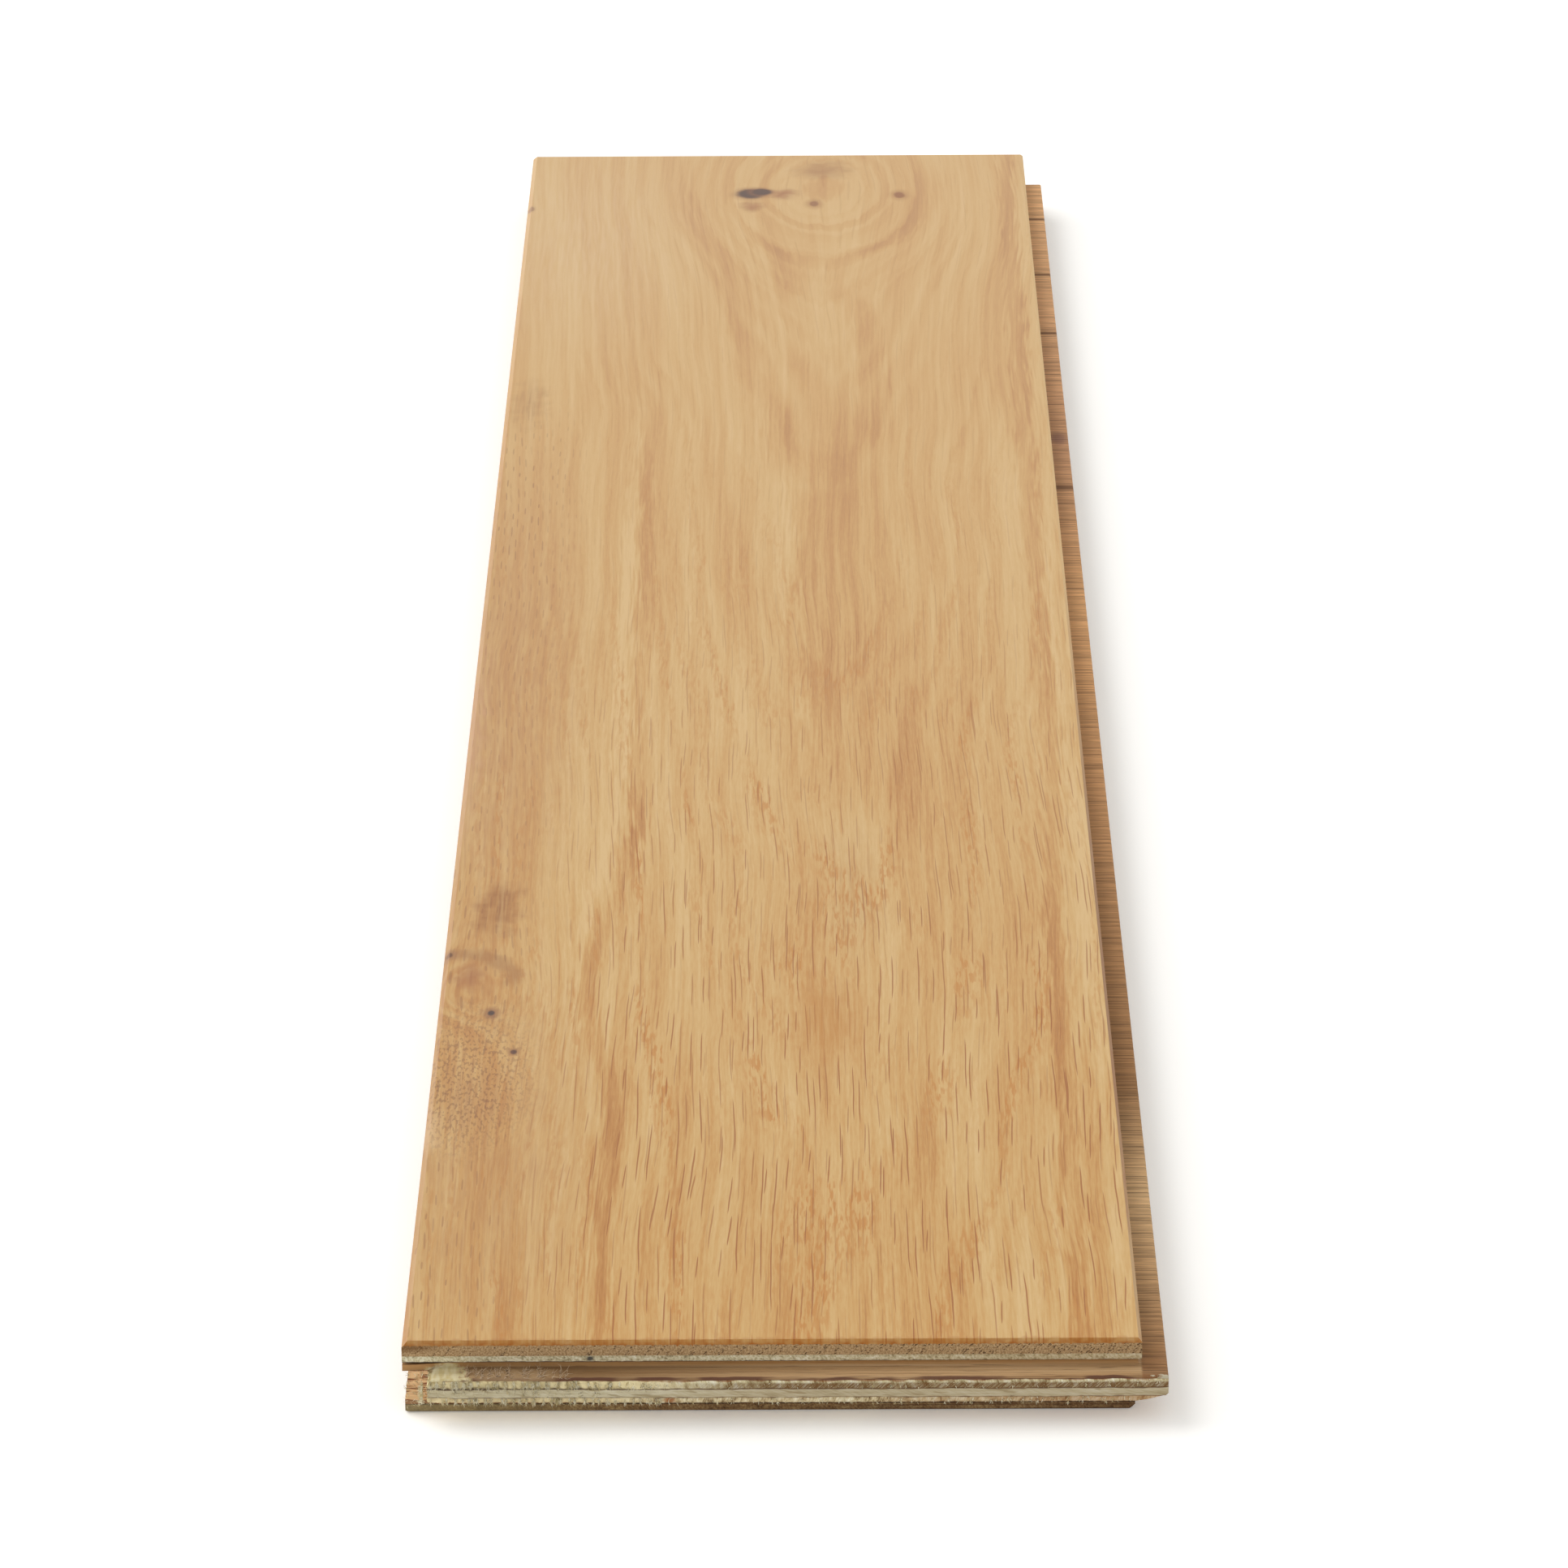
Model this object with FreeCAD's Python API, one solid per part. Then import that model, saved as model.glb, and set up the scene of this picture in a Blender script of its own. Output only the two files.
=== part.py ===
import FreeCAD, Part
import math
import os

# Engineered oak floorboard: a sawn oak wear layer glued to a seven-ply cross-laminated core.
# A tongue is milled along the right edge and the front end, a groove along the left edge and the rear end.
# Millimetres. X runs across the face, Y along it from front to rear, and Z up from the underside.
# The origin is the middle of the bounding box, tongues included, at the height of the underside.

# Face of the board
FACE_LENGTH = 1080.0
FACE_WIDTH = 190.0

# Layers, from the walking face down
WEAR_LAYER = 4.0
TOP_PLY = 1.8
INNER_PLY = 2.4
BACK_PLY = 2.2

# Eased edges of the walking face
TONGUE_EDGE_BEVEL = 0.9
GROOVE_EDGE_BEVEL = 1.5
END_BEVEL = 1.0

# Tongue: it starts below a square shoulder and an undercut, and its side underside rises to the tip
TONGUE_PROJECTION = 6.6
UNDERCUT_HEIGHT = 1.6
UNDERCUT_DEPTH = 1.1
COVE_RADIUS = 1.0
TIP_EASE = 0.6
SIDE_UNDERSIDE_RISE = 2.0
SIDE_BODY_SETBACK = 1.6
END_BODY_SETBACK = 0.4
SIDE_TONGUE_CUTBACK = 17.0

# Groove: it takes the tongue of the next board with these clearances
LOWER_LIP = 3.7
LOWER_LIP_SETBACK = 0.6
CLEARANCE_ABOVE = 0.1
CLEARANCE_BELOW = 1.5
CLEARANCE_AT_TIP = 0.4

# Broken edges of the underside
BACK_ARRIS = 0.5
TONGUE_EDGE_BACK_ARRIS = 1.5

# Veneers from the underside up, named for the run of their grain
LAYERS = [
    ("backing_ply", BACK_PLY),
    ("ply_6_crosswise", INNER_PLY),
    ("ply_5_lengthwise", INNER_PLY),
    ("ply_4_crosswise", INNER_PLY),
    ("ply_3_lengthwise", INNER_PLY),
    ("ply_2_crosswise", INNER_PLY),
    ("ply_1_lengthwise", TOP_PLY),
    ("oak_wear_layer", WEAR_LAYER),
]

THICKNESS = sum(thickness for _, thickness in LAYERS)
SHOULDER_Z = THICKNESS - WEAR_LAYER - TOP_PLY
TONGUE_TOP_Z = SHOULDER_Z - UNDERCUT_HEIGHT
TONGUE_BOTTOM_Z = LOWER_LIP + CLEARANCE_BELOW
GROOVE_TOP_Z = TONGUE_TOP_Z + CLEARANCE_ABOVE
GROOVE_DEPTH = TONGUE_PROJECTION + CLEARANCE_AT_TIP

# Edges of the walking face, placed so that the tongue tips balance about the origin
LEFT_X = -(FACE_WIDTH + TONGUE_PROJECTION) / 2
RIGHT_X = LEFT_X + FACE_WIDTH
FRONT_Y = -(FACE_LENGTH + TONGUE_PROJECTION) / 2 + TONGUE_PROJECTION
REAR_Y = FRONT_Y + FACE_LENGTH
TIP_X = RIGHT_X + TONGUE_PROJECTION
TIP_Y = FRONT_Y - TONGUE_PROJECTION


def quarter_round(centre, radius, out_sign, up_sign):
    """Point halfway round a quarter circle, on the side that the two signs give."""
    reach = radius * math.sqrt(0.5)
    return (centre[0] + out_sign * reach, centre[1] + up_sign * reach)


def tongue_edge(bevel, underside_rise, body_setback, arris):
    """Milled edge with the tongue, from face to underside, as steps (distance out from the face edge, height).

    A step of two points is an arc through the first to the second.
    """
    cove_centre = (COVE_RADIUS - UNDERCUT_DEPTH, TONGUE_TOP_Z + COVE_RADIUS)
    tip_centre = (TONGUE_PROJECTION - TIP_EASE, TONGUE_TOP_Z - TIP_EASE)
    underside_slope = underside_rise / (TONGUE_PROJECTION + body_setback)
    tip_bottom_z = TONGUE_BOTTOM_Z + underside_rise
    return [
        [(-bevel, THICKNESS)],
        [(0, THICKNESS - bevel)],
        [(0, SHOULDER_Z)],
        [(-UNDERCUT_DEPTH, SHOULDER_Z)],
        [(-UNDERCUT_DEPTH, cove_centre[1])],
        [quarter_round(cove_centre, COVE_RADIUS, -1, -1), (cove_centre[0], TONGUE_TOP_Z)],
        [(tip_centre[0], TONGUE_TOP_Z)],
        [quarter_round(tip_centre, TIP_EASE, 1, 1), (TONGUE_PROJECTION, tip_centre[1])],
        [(TONGUE_PROJECTION, tip_bottom_z + TIP_EASE)],
        [(tip_centre[0], tip_bottom_z - TIP_EASE * underside_slope)],
        [(-body_setback, TONGUE_BOTTOM_Z)],
        [(-body_setback, arris)],
        [(-body_setback - arris, 0)],
    ]


def groove_edge(bevel):
    """Milled edge with the groove, from face to underside, in the same steps."""
    return [
        [(-bevel, THICKNESS)],
        [(0, THICKNESS - bevel)],
        [(0, GROOVE_TOP_Z)],
        [(-GROOVE_DEPTH, GROOVE_TOP_Z)],
        [(-GROOVE_DEPTH, LOWER_LIP)],
        [(-LOWER_LIP_SETBACK, LOWER_LIP)],
        [(-LOWER_LIP_SETBACK, BACK_ARRIS)],
        [(-LOWER_LIP_SETBACK - BACK_ARRIS, 0)],
    ]


def milled_wire(steps, place):
    """One open wire along an edge profile, with place turning (out, height) into a point of the board."""
    edges = []
    here = place(*steps[0][0])
    for step in steps[1:]:
        points = [place(*point) for point in step]
        if len(points) == 2:
            edges.append(Part.Arc(here, points[0], points[1]).toShape())
        else:
            edges.append(Part.LineSegment(here, points[0]).toShape())
        here = points[-1]
    return edges


def prism(first_edge, first_place, second_edge, second_place, sweep):
    """Solid swept from the section that two facing milled edges close between them."""
    first = milled_wire(first_edge, first_place)
    second = milled_wire(second_edge, second_place)
    face_line = Part.LineSegment(first_place(*first_edge[0][0]), second_place(*second_edge[0][0]))
    back_line = Part.LineSegment(first_place(*first_edge[-1][0]), second_place(*second_edge[-1][0]))
    outline = Part.Wire(Part.__sortEdges__(first + second + [face_line.toShape(), back_line.toShape()]))
    return Part.Face(outline).extrude(sweep)


def ripped_and_moulded():
    """Full-length stick with the groove on its left edge and the tongue on its right edge."""
    return prism(
        groove_edge(GROOVE_EDGE_BEVEL),
        lambda out, height: FreeCAD.Vector(LEFT_X - out, TIP_Y, height),
        tongue_edge(TONGUE_EDGE_BEVEL, SIDE_UNDERSIDE_RISE, SIDE_BODY_SETBACK, TONGUE_EDGE_BACK_ARRIS),
        lambda out, height: FreeCAD.Vector(RIGHT_X + out, TIP_Y, height),
        FreeCAD.Vector(0, REAR_Y - TIP_Y, 0),
    )


def end_matched():
    """Envelope that the end cutters leave: tongue at the front, groove at the rear."""
    return prism(
        tongue_edge(END_BEVEL, 0, END_BODY_SETBACK, BACK_ARRIS),
        lambda out, height: FreeCAD.Vector(LEFT_X, FRONT_Y - out, height),
        groove_edge(END_BEVEL),
        lambda out, height: FreeCAD.Vector(LEFT_X, REAR_Y + out, height),
        FreeCAD.Vector(TIP_X - LEFT_X, 0, 0),
    )


def rear_trim():
    """Block that takes the side tongue off beside the rear end."""
    corner = FreeCAD.Vector(RIGHT_X, REAR_Y - SIDE_TONGUE_CUTBACK, 0)
    return Part.makeBox(TONGUE_PROJECTION, SIDE_TONGUE_CUTBACK, SHOULDER_Z, corner)


def milled_board():
    """The whole board, moulded along its edges and then matched at its ends."""
    return ripped_and_moulded().common(end_matched()).cut(rear_trim())


def veneer(board, bottom_z, thickness):
    """The slice of the board that one veneer makes."""
    corner = FreeCAD.Vector(LEFT_X, TIP_Y, bottom_z)
    layer = Part.makeBox(TIP_X - LEFT_X, REAR_Y - TIP_Y, thickness, corner)
    return board.common(layer).removeSplitter()


def main():
    os.makedirs("parts", exist_ok=True)
    board = milled_board()
    bottom_z = 0.0
    for name, thickness in LAYERS:
        layer = veneer(board, bottom_z, thickness)
        bottom_z += thickness
        box = layer.BoundBox
        print(
            f"{name}: {len(layer.Solids)} solid, valid {layer.isValid()}, "
            f"{box.XLength:.1f} x {box.YLength:.1f} x {box.ZLength:.1f} mm, {layer.Volume / 1000:.1f} cm3"
        )
        layer.exportStep(f"parts/{name}.step")
    print(f"board {FACE_WIDTH} x {FACE_LENGTH} x {THICKNESS:.1f} mm, {board.Volume / 1000:.1f} cm3")


main()
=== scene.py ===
# %% [markdown]
# # An engineered oak floorboard
# The board is a stack of eight glued layers: a sawn and lacquered oak face on seven plies.
# Its section is milled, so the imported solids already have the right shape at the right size.
# What is left for Blender is what a saw, a cutter and a brush of lacquer do to wood.

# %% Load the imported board
import math
import random

import bmesh
import bpy
from mathutils import Matrix, Vector, noise


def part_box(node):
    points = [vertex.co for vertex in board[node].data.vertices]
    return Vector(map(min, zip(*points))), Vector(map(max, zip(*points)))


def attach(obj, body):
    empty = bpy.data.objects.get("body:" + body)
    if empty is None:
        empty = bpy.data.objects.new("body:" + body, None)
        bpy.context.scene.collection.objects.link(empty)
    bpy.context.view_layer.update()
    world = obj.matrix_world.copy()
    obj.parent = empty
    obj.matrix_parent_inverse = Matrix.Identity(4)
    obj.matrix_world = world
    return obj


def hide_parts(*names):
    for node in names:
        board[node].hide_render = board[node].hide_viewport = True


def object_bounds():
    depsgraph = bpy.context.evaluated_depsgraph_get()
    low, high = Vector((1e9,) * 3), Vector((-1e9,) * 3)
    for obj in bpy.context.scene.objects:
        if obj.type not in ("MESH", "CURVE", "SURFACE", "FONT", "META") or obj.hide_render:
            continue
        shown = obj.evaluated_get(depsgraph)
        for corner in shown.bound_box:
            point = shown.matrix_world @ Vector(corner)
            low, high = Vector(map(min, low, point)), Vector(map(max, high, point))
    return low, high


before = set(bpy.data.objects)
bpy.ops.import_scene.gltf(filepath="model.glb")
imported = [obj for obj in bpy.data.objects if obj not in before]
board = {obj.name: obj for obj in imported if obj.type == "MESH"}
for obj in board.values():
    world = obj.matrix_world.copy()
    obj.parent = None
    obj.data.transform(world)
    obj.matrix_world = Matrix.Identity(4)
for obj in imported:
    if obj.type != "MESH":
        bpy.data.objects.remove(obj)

MM = 0.001
cad_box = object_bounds()
print("board", [round(side / MM, 1) for side in cad_box[1] - cad_box[0]], "mm,", len(board), "layers")

# %% [markdown]
# ## Helpers for every finish
# A material is a tree of small nodes. One function adds a node, and another turns the colours,
# which are written as they look on a screen, to the linear values that light is reckoned in.

# %% Helpers for materials
SHADER = "Principled BSDF"


def linear(colour):
    """Linear colour of an sRGB hex value."""
    parts = [int(colour[i:i + 2], 16) / 255 for i in (1, 3, 5)]
    return [c / 12.92 if c <= 0.04045 else ((c + 0.055) / 1.055) ** 2.4 for c in parts] + [1.0]


def add(tree, kind, inputs=(), out=0, stops=(), **settings):
    """Adds a node with its settings, inputs and a ramp's stops, and returns one of its outputs.

    Inputs come in the node's order, or by number or name. Each is a socket to link, a value or a hex colour.
    A stop has a place and a hex colour or a weight.
    """
    node = tree.nodes.new("ShaderNode" + kind)
    for name, value in settings.items():
        setattr(node, name, value)
    for key, value in inputs.items() if isinstance(inputs, dict) else enumerate(inputs):
        if isinstance(value, bpy.types.NodeSocket):
            tree.links.new(value, node.inputs[key])
        else:
            node.inputs[key].default_value = linear(value) if isinstance(value, str) else value
    for number, (place, value) in enumerate(stops):
        elements = node.color_ramp.elements
        stop = elements[number] if number < 2 else elements.new(place)
        stop.position = place
        stop.color = linear(value) if isinstance(value, str) else (value, value, value, 1)
    return node.outputs[out]


def finish_named(name):
    """A new material and its node tree, with a surface shader in it."""
    made = bpy.data.materials.new(name)
    made.use_nodes = True
    return made, made.node_tree


print("middle grey on a screen is", round(linear("#808080")[0], 3), "of white in light")

# %% [markdown]
# ## Camera
# The photograph looks down the board from 21 degrees above, from far off with a long lens.
# The distance matters more than the lens: it sets how fast the board narrows towards its rear end.

# %% Camera
CAMERA_PLACE = Vector((5.7, -2313.7, 855.0)) * MM
LOOK_DOWN = math.radians(21.0)
TURN = math.radians(-0.162)
ROLL = math.radians(-0.327)
FRAME_PIXELS = 1932
FOCAL_PIXELS = 9411
SENSOR = 36.0
SIGHT = 100.0

ahead = Vector((
    math.sin(TURN) * math.cos(LOOK_DOWN), math.cos(TURN) * math.cos(LOOK_DOWN), -math.sin(LOOK_DOWN)
))
level = Vector((math.cos(TURN), -math.sin(TURN), 0))
upright = level.cross(ahead)
right = level * math.cos(ROLL) + upright * math.sin(ROLL)
up = upright * math.cos(ROLL) - level * math.sin(ROLL)

camera = bpy.data.objects.new("camera", bpy.data.cameras.new("camera"))
camera.data.sensor_width = SENSOR
camera.data.lens = SENSOR * FOCAL_PIXELS / FRAME_PIXELS
camera.data.clip_end = SIGHT
axes = Matrix((right, up, -ahead)).transposed()
camera.matrix_world = Matrix.Translation(CAMERA_PLACE) @ axes.to_4x4()
scene = bpy.context.scene
scene.collection.objects.link(camera)
scene.camera = camera
print(f"lens {camera.data.lens:.1f} mm")

# %% [markdown]
# ## Light and floor
# A white studio: light comes from all round, and a wide soft lamp at the rear left adds half as much again.
# Sky and lamp together give the walking face a strength of 1, so colours come out as they are written.
# The floor is white paper. What it lacks to pure white is added only for the eye, straight or mirrored, so
# that the shadow under the board stays.

# %% World and lamp
SKY = 0.66
LAMP_HEIGHT = math.radians(38)
LAMP_FROM = Vector((-0.82, 0.57))
LAMP_SPREAD = math.radians(52)


def seen_rays(tree):
    """1 for rays that show the surroundings to the eye, straight or mirrored, and 0 for those that light."""
    ray = add(tree, "LightPath").node.outputs
    seen = add(tree, "Math", [ray["Is Camera Ray"], ray["Is Glossy Ray"]], operation="ADD")
    return add(tree, "Math", [seen, ray["Is Transmission Ray"]], operation="ADD", use_clamp=True)


scene.view_settings.view_transform = "Standard"
scene.world = bpy.data.worlds.new("white_studio")
scene.world.use_nodes = True
sky = scene.world.node_tree
background = sky.nodes["Background"]
background.inputs["Color"].default_value = linear("#ffffff")
strength = add(sky, "Mix", {0: seen_rays(sky), 2: SKY, 3: 1.0})
sky.links.new(strength, background.inputs["Strength"])

lamp = bpy.data.objects.new("soft_lamp", bpy.data.lights.new("soft_lamp", "SUN"))
lamp.data.angle = LAMP_SPREAD
lamp.data.energy = (1 - SKY) * math.pi / math.sin(LAMP_HEIGHT)
toward_lamp = LAMP_FROM.normalized() * math.cos(LAMP_HEIGHT)
lamp.rotation_euler = Vector((*toward_lamp, math.sin(LAMP_HEIGHT))).to_track_quat("Z", "Y").to_euler()
scene.collection.objects.link(lamp)
print(f"sky {SKY}, lamp {lamp.data.energy:.2f} W/m2")

# %% Floor of white paper
# Paper is matt and a little warm. It has no gloss, so that it doesn't mirror the board.
PAPER_GLOW = 0.23
FLOOR_SIZE = 40.0
FLOOR_GAP = 0.2 * MM

paper, paper_tree = finish_named("white_paper")
paper_shade = paper_tree.nodes[SHADER]
paper_shade.inputs["Base Color"].default_value = linear("#faf9f6")
paper_shade.inputs["Roughness"].default_value = 1.0
paper_shade.inputs["Specular IOR Level"].default_value = 0.0
paper_shade.inputs["Emission Color"].default_value = linear("#fffdf9")
glow = add(paper_tree, "Math", [seen_rays(paper_tree), PAPER_GLOW], operation="MULTIPLY")
paper_tree.links.new(glow, paper_shade.inputs["Emission Strength"])

half = FLOOR_SIZE / 2
floor_mesh = bpy.data.meshes.new("floor")
corners = [(side * half, end * half, -FLOOR_GAP) for side, end in ((-1, -1), (1, -1), (1, 1), (-1, 1))]
floor_mesh.from_pydata(corners, [], [(0, 1, 2, 3)])
floor_mesh.materials.append(paper)
floor = bpy.data.objects.new("floor", floor_mesh)
scene.collection.objects.link(floor)
print("floor", FLOOR_SIZE, "m wide")

# %% [markdown]
# ## Patterns of wood
# Wood is drawn along its fibres, so nearly every mark on it is noise or a spot that is stretched one way.
# These patterns are worked out in space, in millimetres. A picture wrapped round the board would be
# quicker, but its face, its bevels and its sawn ends would not belong to the same piece of wood.

# %% Patterns that every layer needs
FAR = 1.0e6
EASED = {"interpolation_type": "SMOOTHSTEP"}


def in_millimetres(tree):
    """Place in the board, in millimetres."""
    place = add(tree, "TexCoord", out="Object")
    return add(tree, "VectorMath", {0: place, "Scale": 1 / MM}, out="Vector", operation="SCALE")


def tinted(tree, colour, tint, *shares):
    """Colour with a tint over it, as strong as the product of the shares.

    A share is a mask, a number or a range (value, start, end, low, high), which is low up to start and high
    from end on. A range without low and high goes from 0 to 1.
    """
    strength = 1.0
    for share in shares:
        if isinstance(share, tuple):
            share = add(tree, "MapRange", share, **EASED)
        strength = add(tree, "Math", [strength, share], operation="MULTIPLY")
    return add(tree, "Mix", {0: strength, 6: colour, 7: tint}, out=2, data_type="RGBA")


def fibre_noise(tree, place, sizes, lean=0.0, detail=1.5, plane=False):
    """Noise in grains of these sizes along X, Y and Z in millimetres, leaning over by lean in X per Z."""
    if lean:
        side, along, height = add(tree, "SeparateXYZ", [place]).node.outputs
        side = add(tree, "Math", [height, lean, side], operation="MULTIPLY_ADD")
        place = add(tree, "CombineXYZ", [side, along, height])
    grains = add(tree, "VectorMath", [place, sizes], operation="DIVIDE")
    room = "2D" if plane else "3D"
    return add(tree, "TexNoise", {"Vector": grains, "Scale": 1.0, "Detail": detail}, noise_dimensions=room)


def oval(tree, place, centre, half_sizes, inner=0.0):
    """Mask of a soft ellipsoid: 1 up to the share inner of its half sizes, 0 from its rim outwards."""
    offset = add(tree, "VectorMath", [place, centre], operation="SUBTRACT")
    reach = add(tree, "VectorMath", [offset, half_sizes], operation="DIVIDE")
    far = add(tree, "VectorMath", [reach], out="Value", operation="LENGTH")
    return add(tree, "MapRange", [far, 1.0, inner], **EASED)


print("patterns: tint, fibre noise, oval")

# %% [markdown]
# ## Streaks and spindles
# Two marks of oak have a shape of their own. A long streak follows a curve down the board. A spindle is a
# short line with pointed ends. Thousands of them could be small meshes, but a grid of cells with one spindle
# in each, moved about by chance, costs little and never ends.

# %% Streaks
# Share of a streak's width that is solid.
SOLID = 0.2


def band(tree, x, y, path, half_width, fade):
    """Mask of a streak along a path of (along, across) points in millimetres, faded out past its ends."""
    start, end = path[0][0], path[-1][0]
    places = [across for _, across in path]
    low = min(places) - 1
    span = max(places) + 1 - low
    share = add(tree, "MapRange", [y, start, end])
    line = add(tree, "FloatCurve", {"Value": share})
    curve = line.node.mapping.curves[0]
    for along, across in path[1:-1]:
        curve.points.new((along - start) / (end - start), (across - low) / span)
    curve.points[0].location = (0, (places[0] - low) / span)
    curve.points[len(curve.points) - 1].location = (1, (places[-1] - low) / span)
    line.node.mapping.update()
    middle = add(tree, "Math", [line, span, low], operation="MULTIPLY_ADD")
    off = add(tree, "Math", [x, middle], operation="SUBTRACT")
    off = add(tree, "Math", [off], operation="ABSOLUTE")
    mask = add(tree, "MapRange", [off, half_width, SOLID * half_width], **EASED)
    for limit, outside in ((start, start - fade), (end, end + fade)):
        inside = add(tree, "MapRange", [y, outside, limit], **EASED)
        mask = add(tree, "Math", [mask, inside], operation="MULTIPLY")
    return mask


print("a streak is solid for", SOLID, "of its width")

# %% Spindle marks
# How spindles differ: the shortest one's share of the length, the most lean, and the room across a cell.
SHORTEST = 0.35
MOST_LEAN = 0.02
ROOM = (0.2, 0.8)
# The faintest one's weight, and the chance from which they have full weight.
FAINTEST = 0.15
FULL_FROM = 0.8
# Share of its size from which a spindle fades.
SOFT_FROM = 0.55


def spindles(tree, across, y, pitch, half_width, half_length, shift):
    """Mask of spindle marks, one to a cell of that pitch across and along, in millimetres."""
    column = add(tree, "Math", [across, 1 / pitch[0], shift], operation="MULTIPLY_ADD")
    column_number = add(tree, "Math", [column], operation="FLOOR")
    slide = add(tree, "TexWhiteNoise", {"W": column_number}, noise_dimensions="1D")
    row = add(tree, "Math", [y, 1 / pitch[1], slide], operation="MULTIPLY_ADD")
    row_number = add(tree, "Math", [row], operation="FLOOR")
    cell = add(tree, "CombineXYZ", [column_number, row_number])
    chance = add(tree, "TexWhiteNoise", {"Vector": cell}, out="Color", noise_dimensions="2D")
    chance = add(tree, "SeparateColor", [chance]).node.outputs
    length = add(tree, "MapRange", [chance[2], 0.0, 1.0, SHORTEST * half_length, half_length])
    aside = add(tree, "Math", [column], operation="FRACT")
    middle = add(tree, "MapRange", [chance[0], 0.0, 1.0, *ROOM])
    aside = add(tree, "Math", [aside, middle], operation="SUBTRACT")
    beyond = add(tree, "Math", [row], operation="FRACT")
    end_room = half_length / pitch[1]
    middle = add(tree, "MapRange", [chance[1], 0.0, 1.0, end_room, 1 - end_room])
    beyond = add(tree, "Math", [beyond, middle], operation="SUBTRACT")
    beyond = add(tree, "Math", [beyond, pitch[1]], operation="MULTIPLY")
    lean = add(tree, "MapRange", [chance[2], 0.0, 1.0, -MOST_LEAN / pitch[0], MOST_LEAN / pitch[0]])
    aside = add(tree, "Math", [beyond, lean, aside], operation="MULTIPLY_ADD")
    aside = add(tree, "Math", [aside, pitch[0] / half_width], operation="MULTIPLY")
    aside = add(tree, "Math", [aside], operation="ABSOLUTE")
    share = add(tree, "Math", [beyond, length], operation="DIVIDE")
    share = add(tree, "Math", [share, share], operation="MULTIPLY")
    share = add(tree, "Math", [share, share, aside], operation="MULTIPLY_ADD")
    mark = add(tree, "MapRange", [share, 1.0, SOFT_FROM], **EASED)
    weight = add(tree, "MapRange", [chance[0], 0.0, FULL_FROM, FAINTEST, 1.0])
    return add(tree, "Math", [mark, weight], operation="MULTIPLY")


print("spindle marks are at least", SHORTEST, "of their full length")

# %% [markdown]
# ## Oak: where the grain runs
# The face is plain-sawn oak. Its fibres run along the board and part round two knots, like water round
# a stone. So the place across the board is bent first, and every pattern afterwards uses the bent one.

# %% Oak: flow of the fibres
# Each knot: place across and along, half width and half length of its swirl, how far it parts the
# fibres, and how far it pushes the rings outwards, in millimetres.
SWIRLS = [
    (13, 493, 44, 84, 0.6, 40),
    (-92, -303, 20, 34, 0.5, 15),
]
SWIRL_FALL = 1.6
# Sway of the fibres: width and length of a bend, and how far it goes, in millimetres.
SWAYS = [(60, 170, 6.0), (5, 24, 0.6)]

oak_finish, oak = finish_named("lacquered_sawn_oak")
place = in_millimetres(oak)
x, y, z = add(oak, "SeparateXYZ", [place]).node.outputs
across = x
bulge = 0.0
knotty = 0.0
for centre_x, centre_y, half_width, half_length, parting, push in SWIRLS:
    offset = add(oak, "VectorMath", [place, (centre_x, centre_y, 0)], operation="SUBTRACT")
    reach = add(oak, "VectorMath", [offset, (half_width, half_length, FAR)], operation="DIVIDE")
    far = add(oak, "VectorMath", [reach, reach], out="Value", operation="DOT_PRODUCT")
    far = add(oak, "Math", [far, 1.0], operation="ADD")
    near = add(oak, "Math", [1.0, far], operation="DIVIDE")
    aside = add(oak, "SeparateXYZ", [offset])
    aside = add(oak, "Math", [aside, near], operation="MULTIPLY")
    across = add(oak, "Math", [aside, -parting, across], operation="MULTIPLY_ADD")
    near = add(oak, "Math", [near, SWIRL_FALL], operation="POWER")
    knotty = add(oak, "Math", [near, knotty], operation="ADD")
    bulge = add(oak, "Math", [near, push, bulge], operation="MULTIPLY_ADD")
for width, length, reach in SWAYS:
    sway = fibre_noise(oak, place, (width, length, FAR), detail=1.0, plane=True)
    across = add(oak, "Math", [sway, reach, across], operation="MULTIPLY_ADD")
    across = add(oak, "Math", [across, reach / 2], operation="SUBTRACT")
grain = add(oak, "CombineXYZ", [across, y, z])
print("oak:", len(SWIRLS), "swirls and", len(SWAYS), "sways in the grain")

# %% [markdown]
# ## Oak: annual rings
# Sawn off-centre, the rings show as tall pointed arches, with their tips towards the front end. Each
# ring starts with a band of wide pores, which looks darker. Arches could be drawn one by one, but here a ring
# is a tube round the tree's pith, which passes over the board at a slant, and the board cuts it to an arch.

# %% Oak: rings
PITH_ACROSS = 12.0
PITH_DEPTH = 75.0
TAPER = 0.045
RING = 5.0
# Unevenness of the rings: width and length of a bend, and its height, in millimetres.
BENDS = [(60, 230, 14.0), (9, 80, 3.5), (1.2, 26, 2.6)]
# How dark a ring is over one year's growth, and the least that a poor year shows.
YEAR = [(0, 0.35), (0.12, 1.0), (0.4, 0.6), (0.65, 0.0), (1, 0.35)]
POOR_YEAR = 0.25

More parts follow.
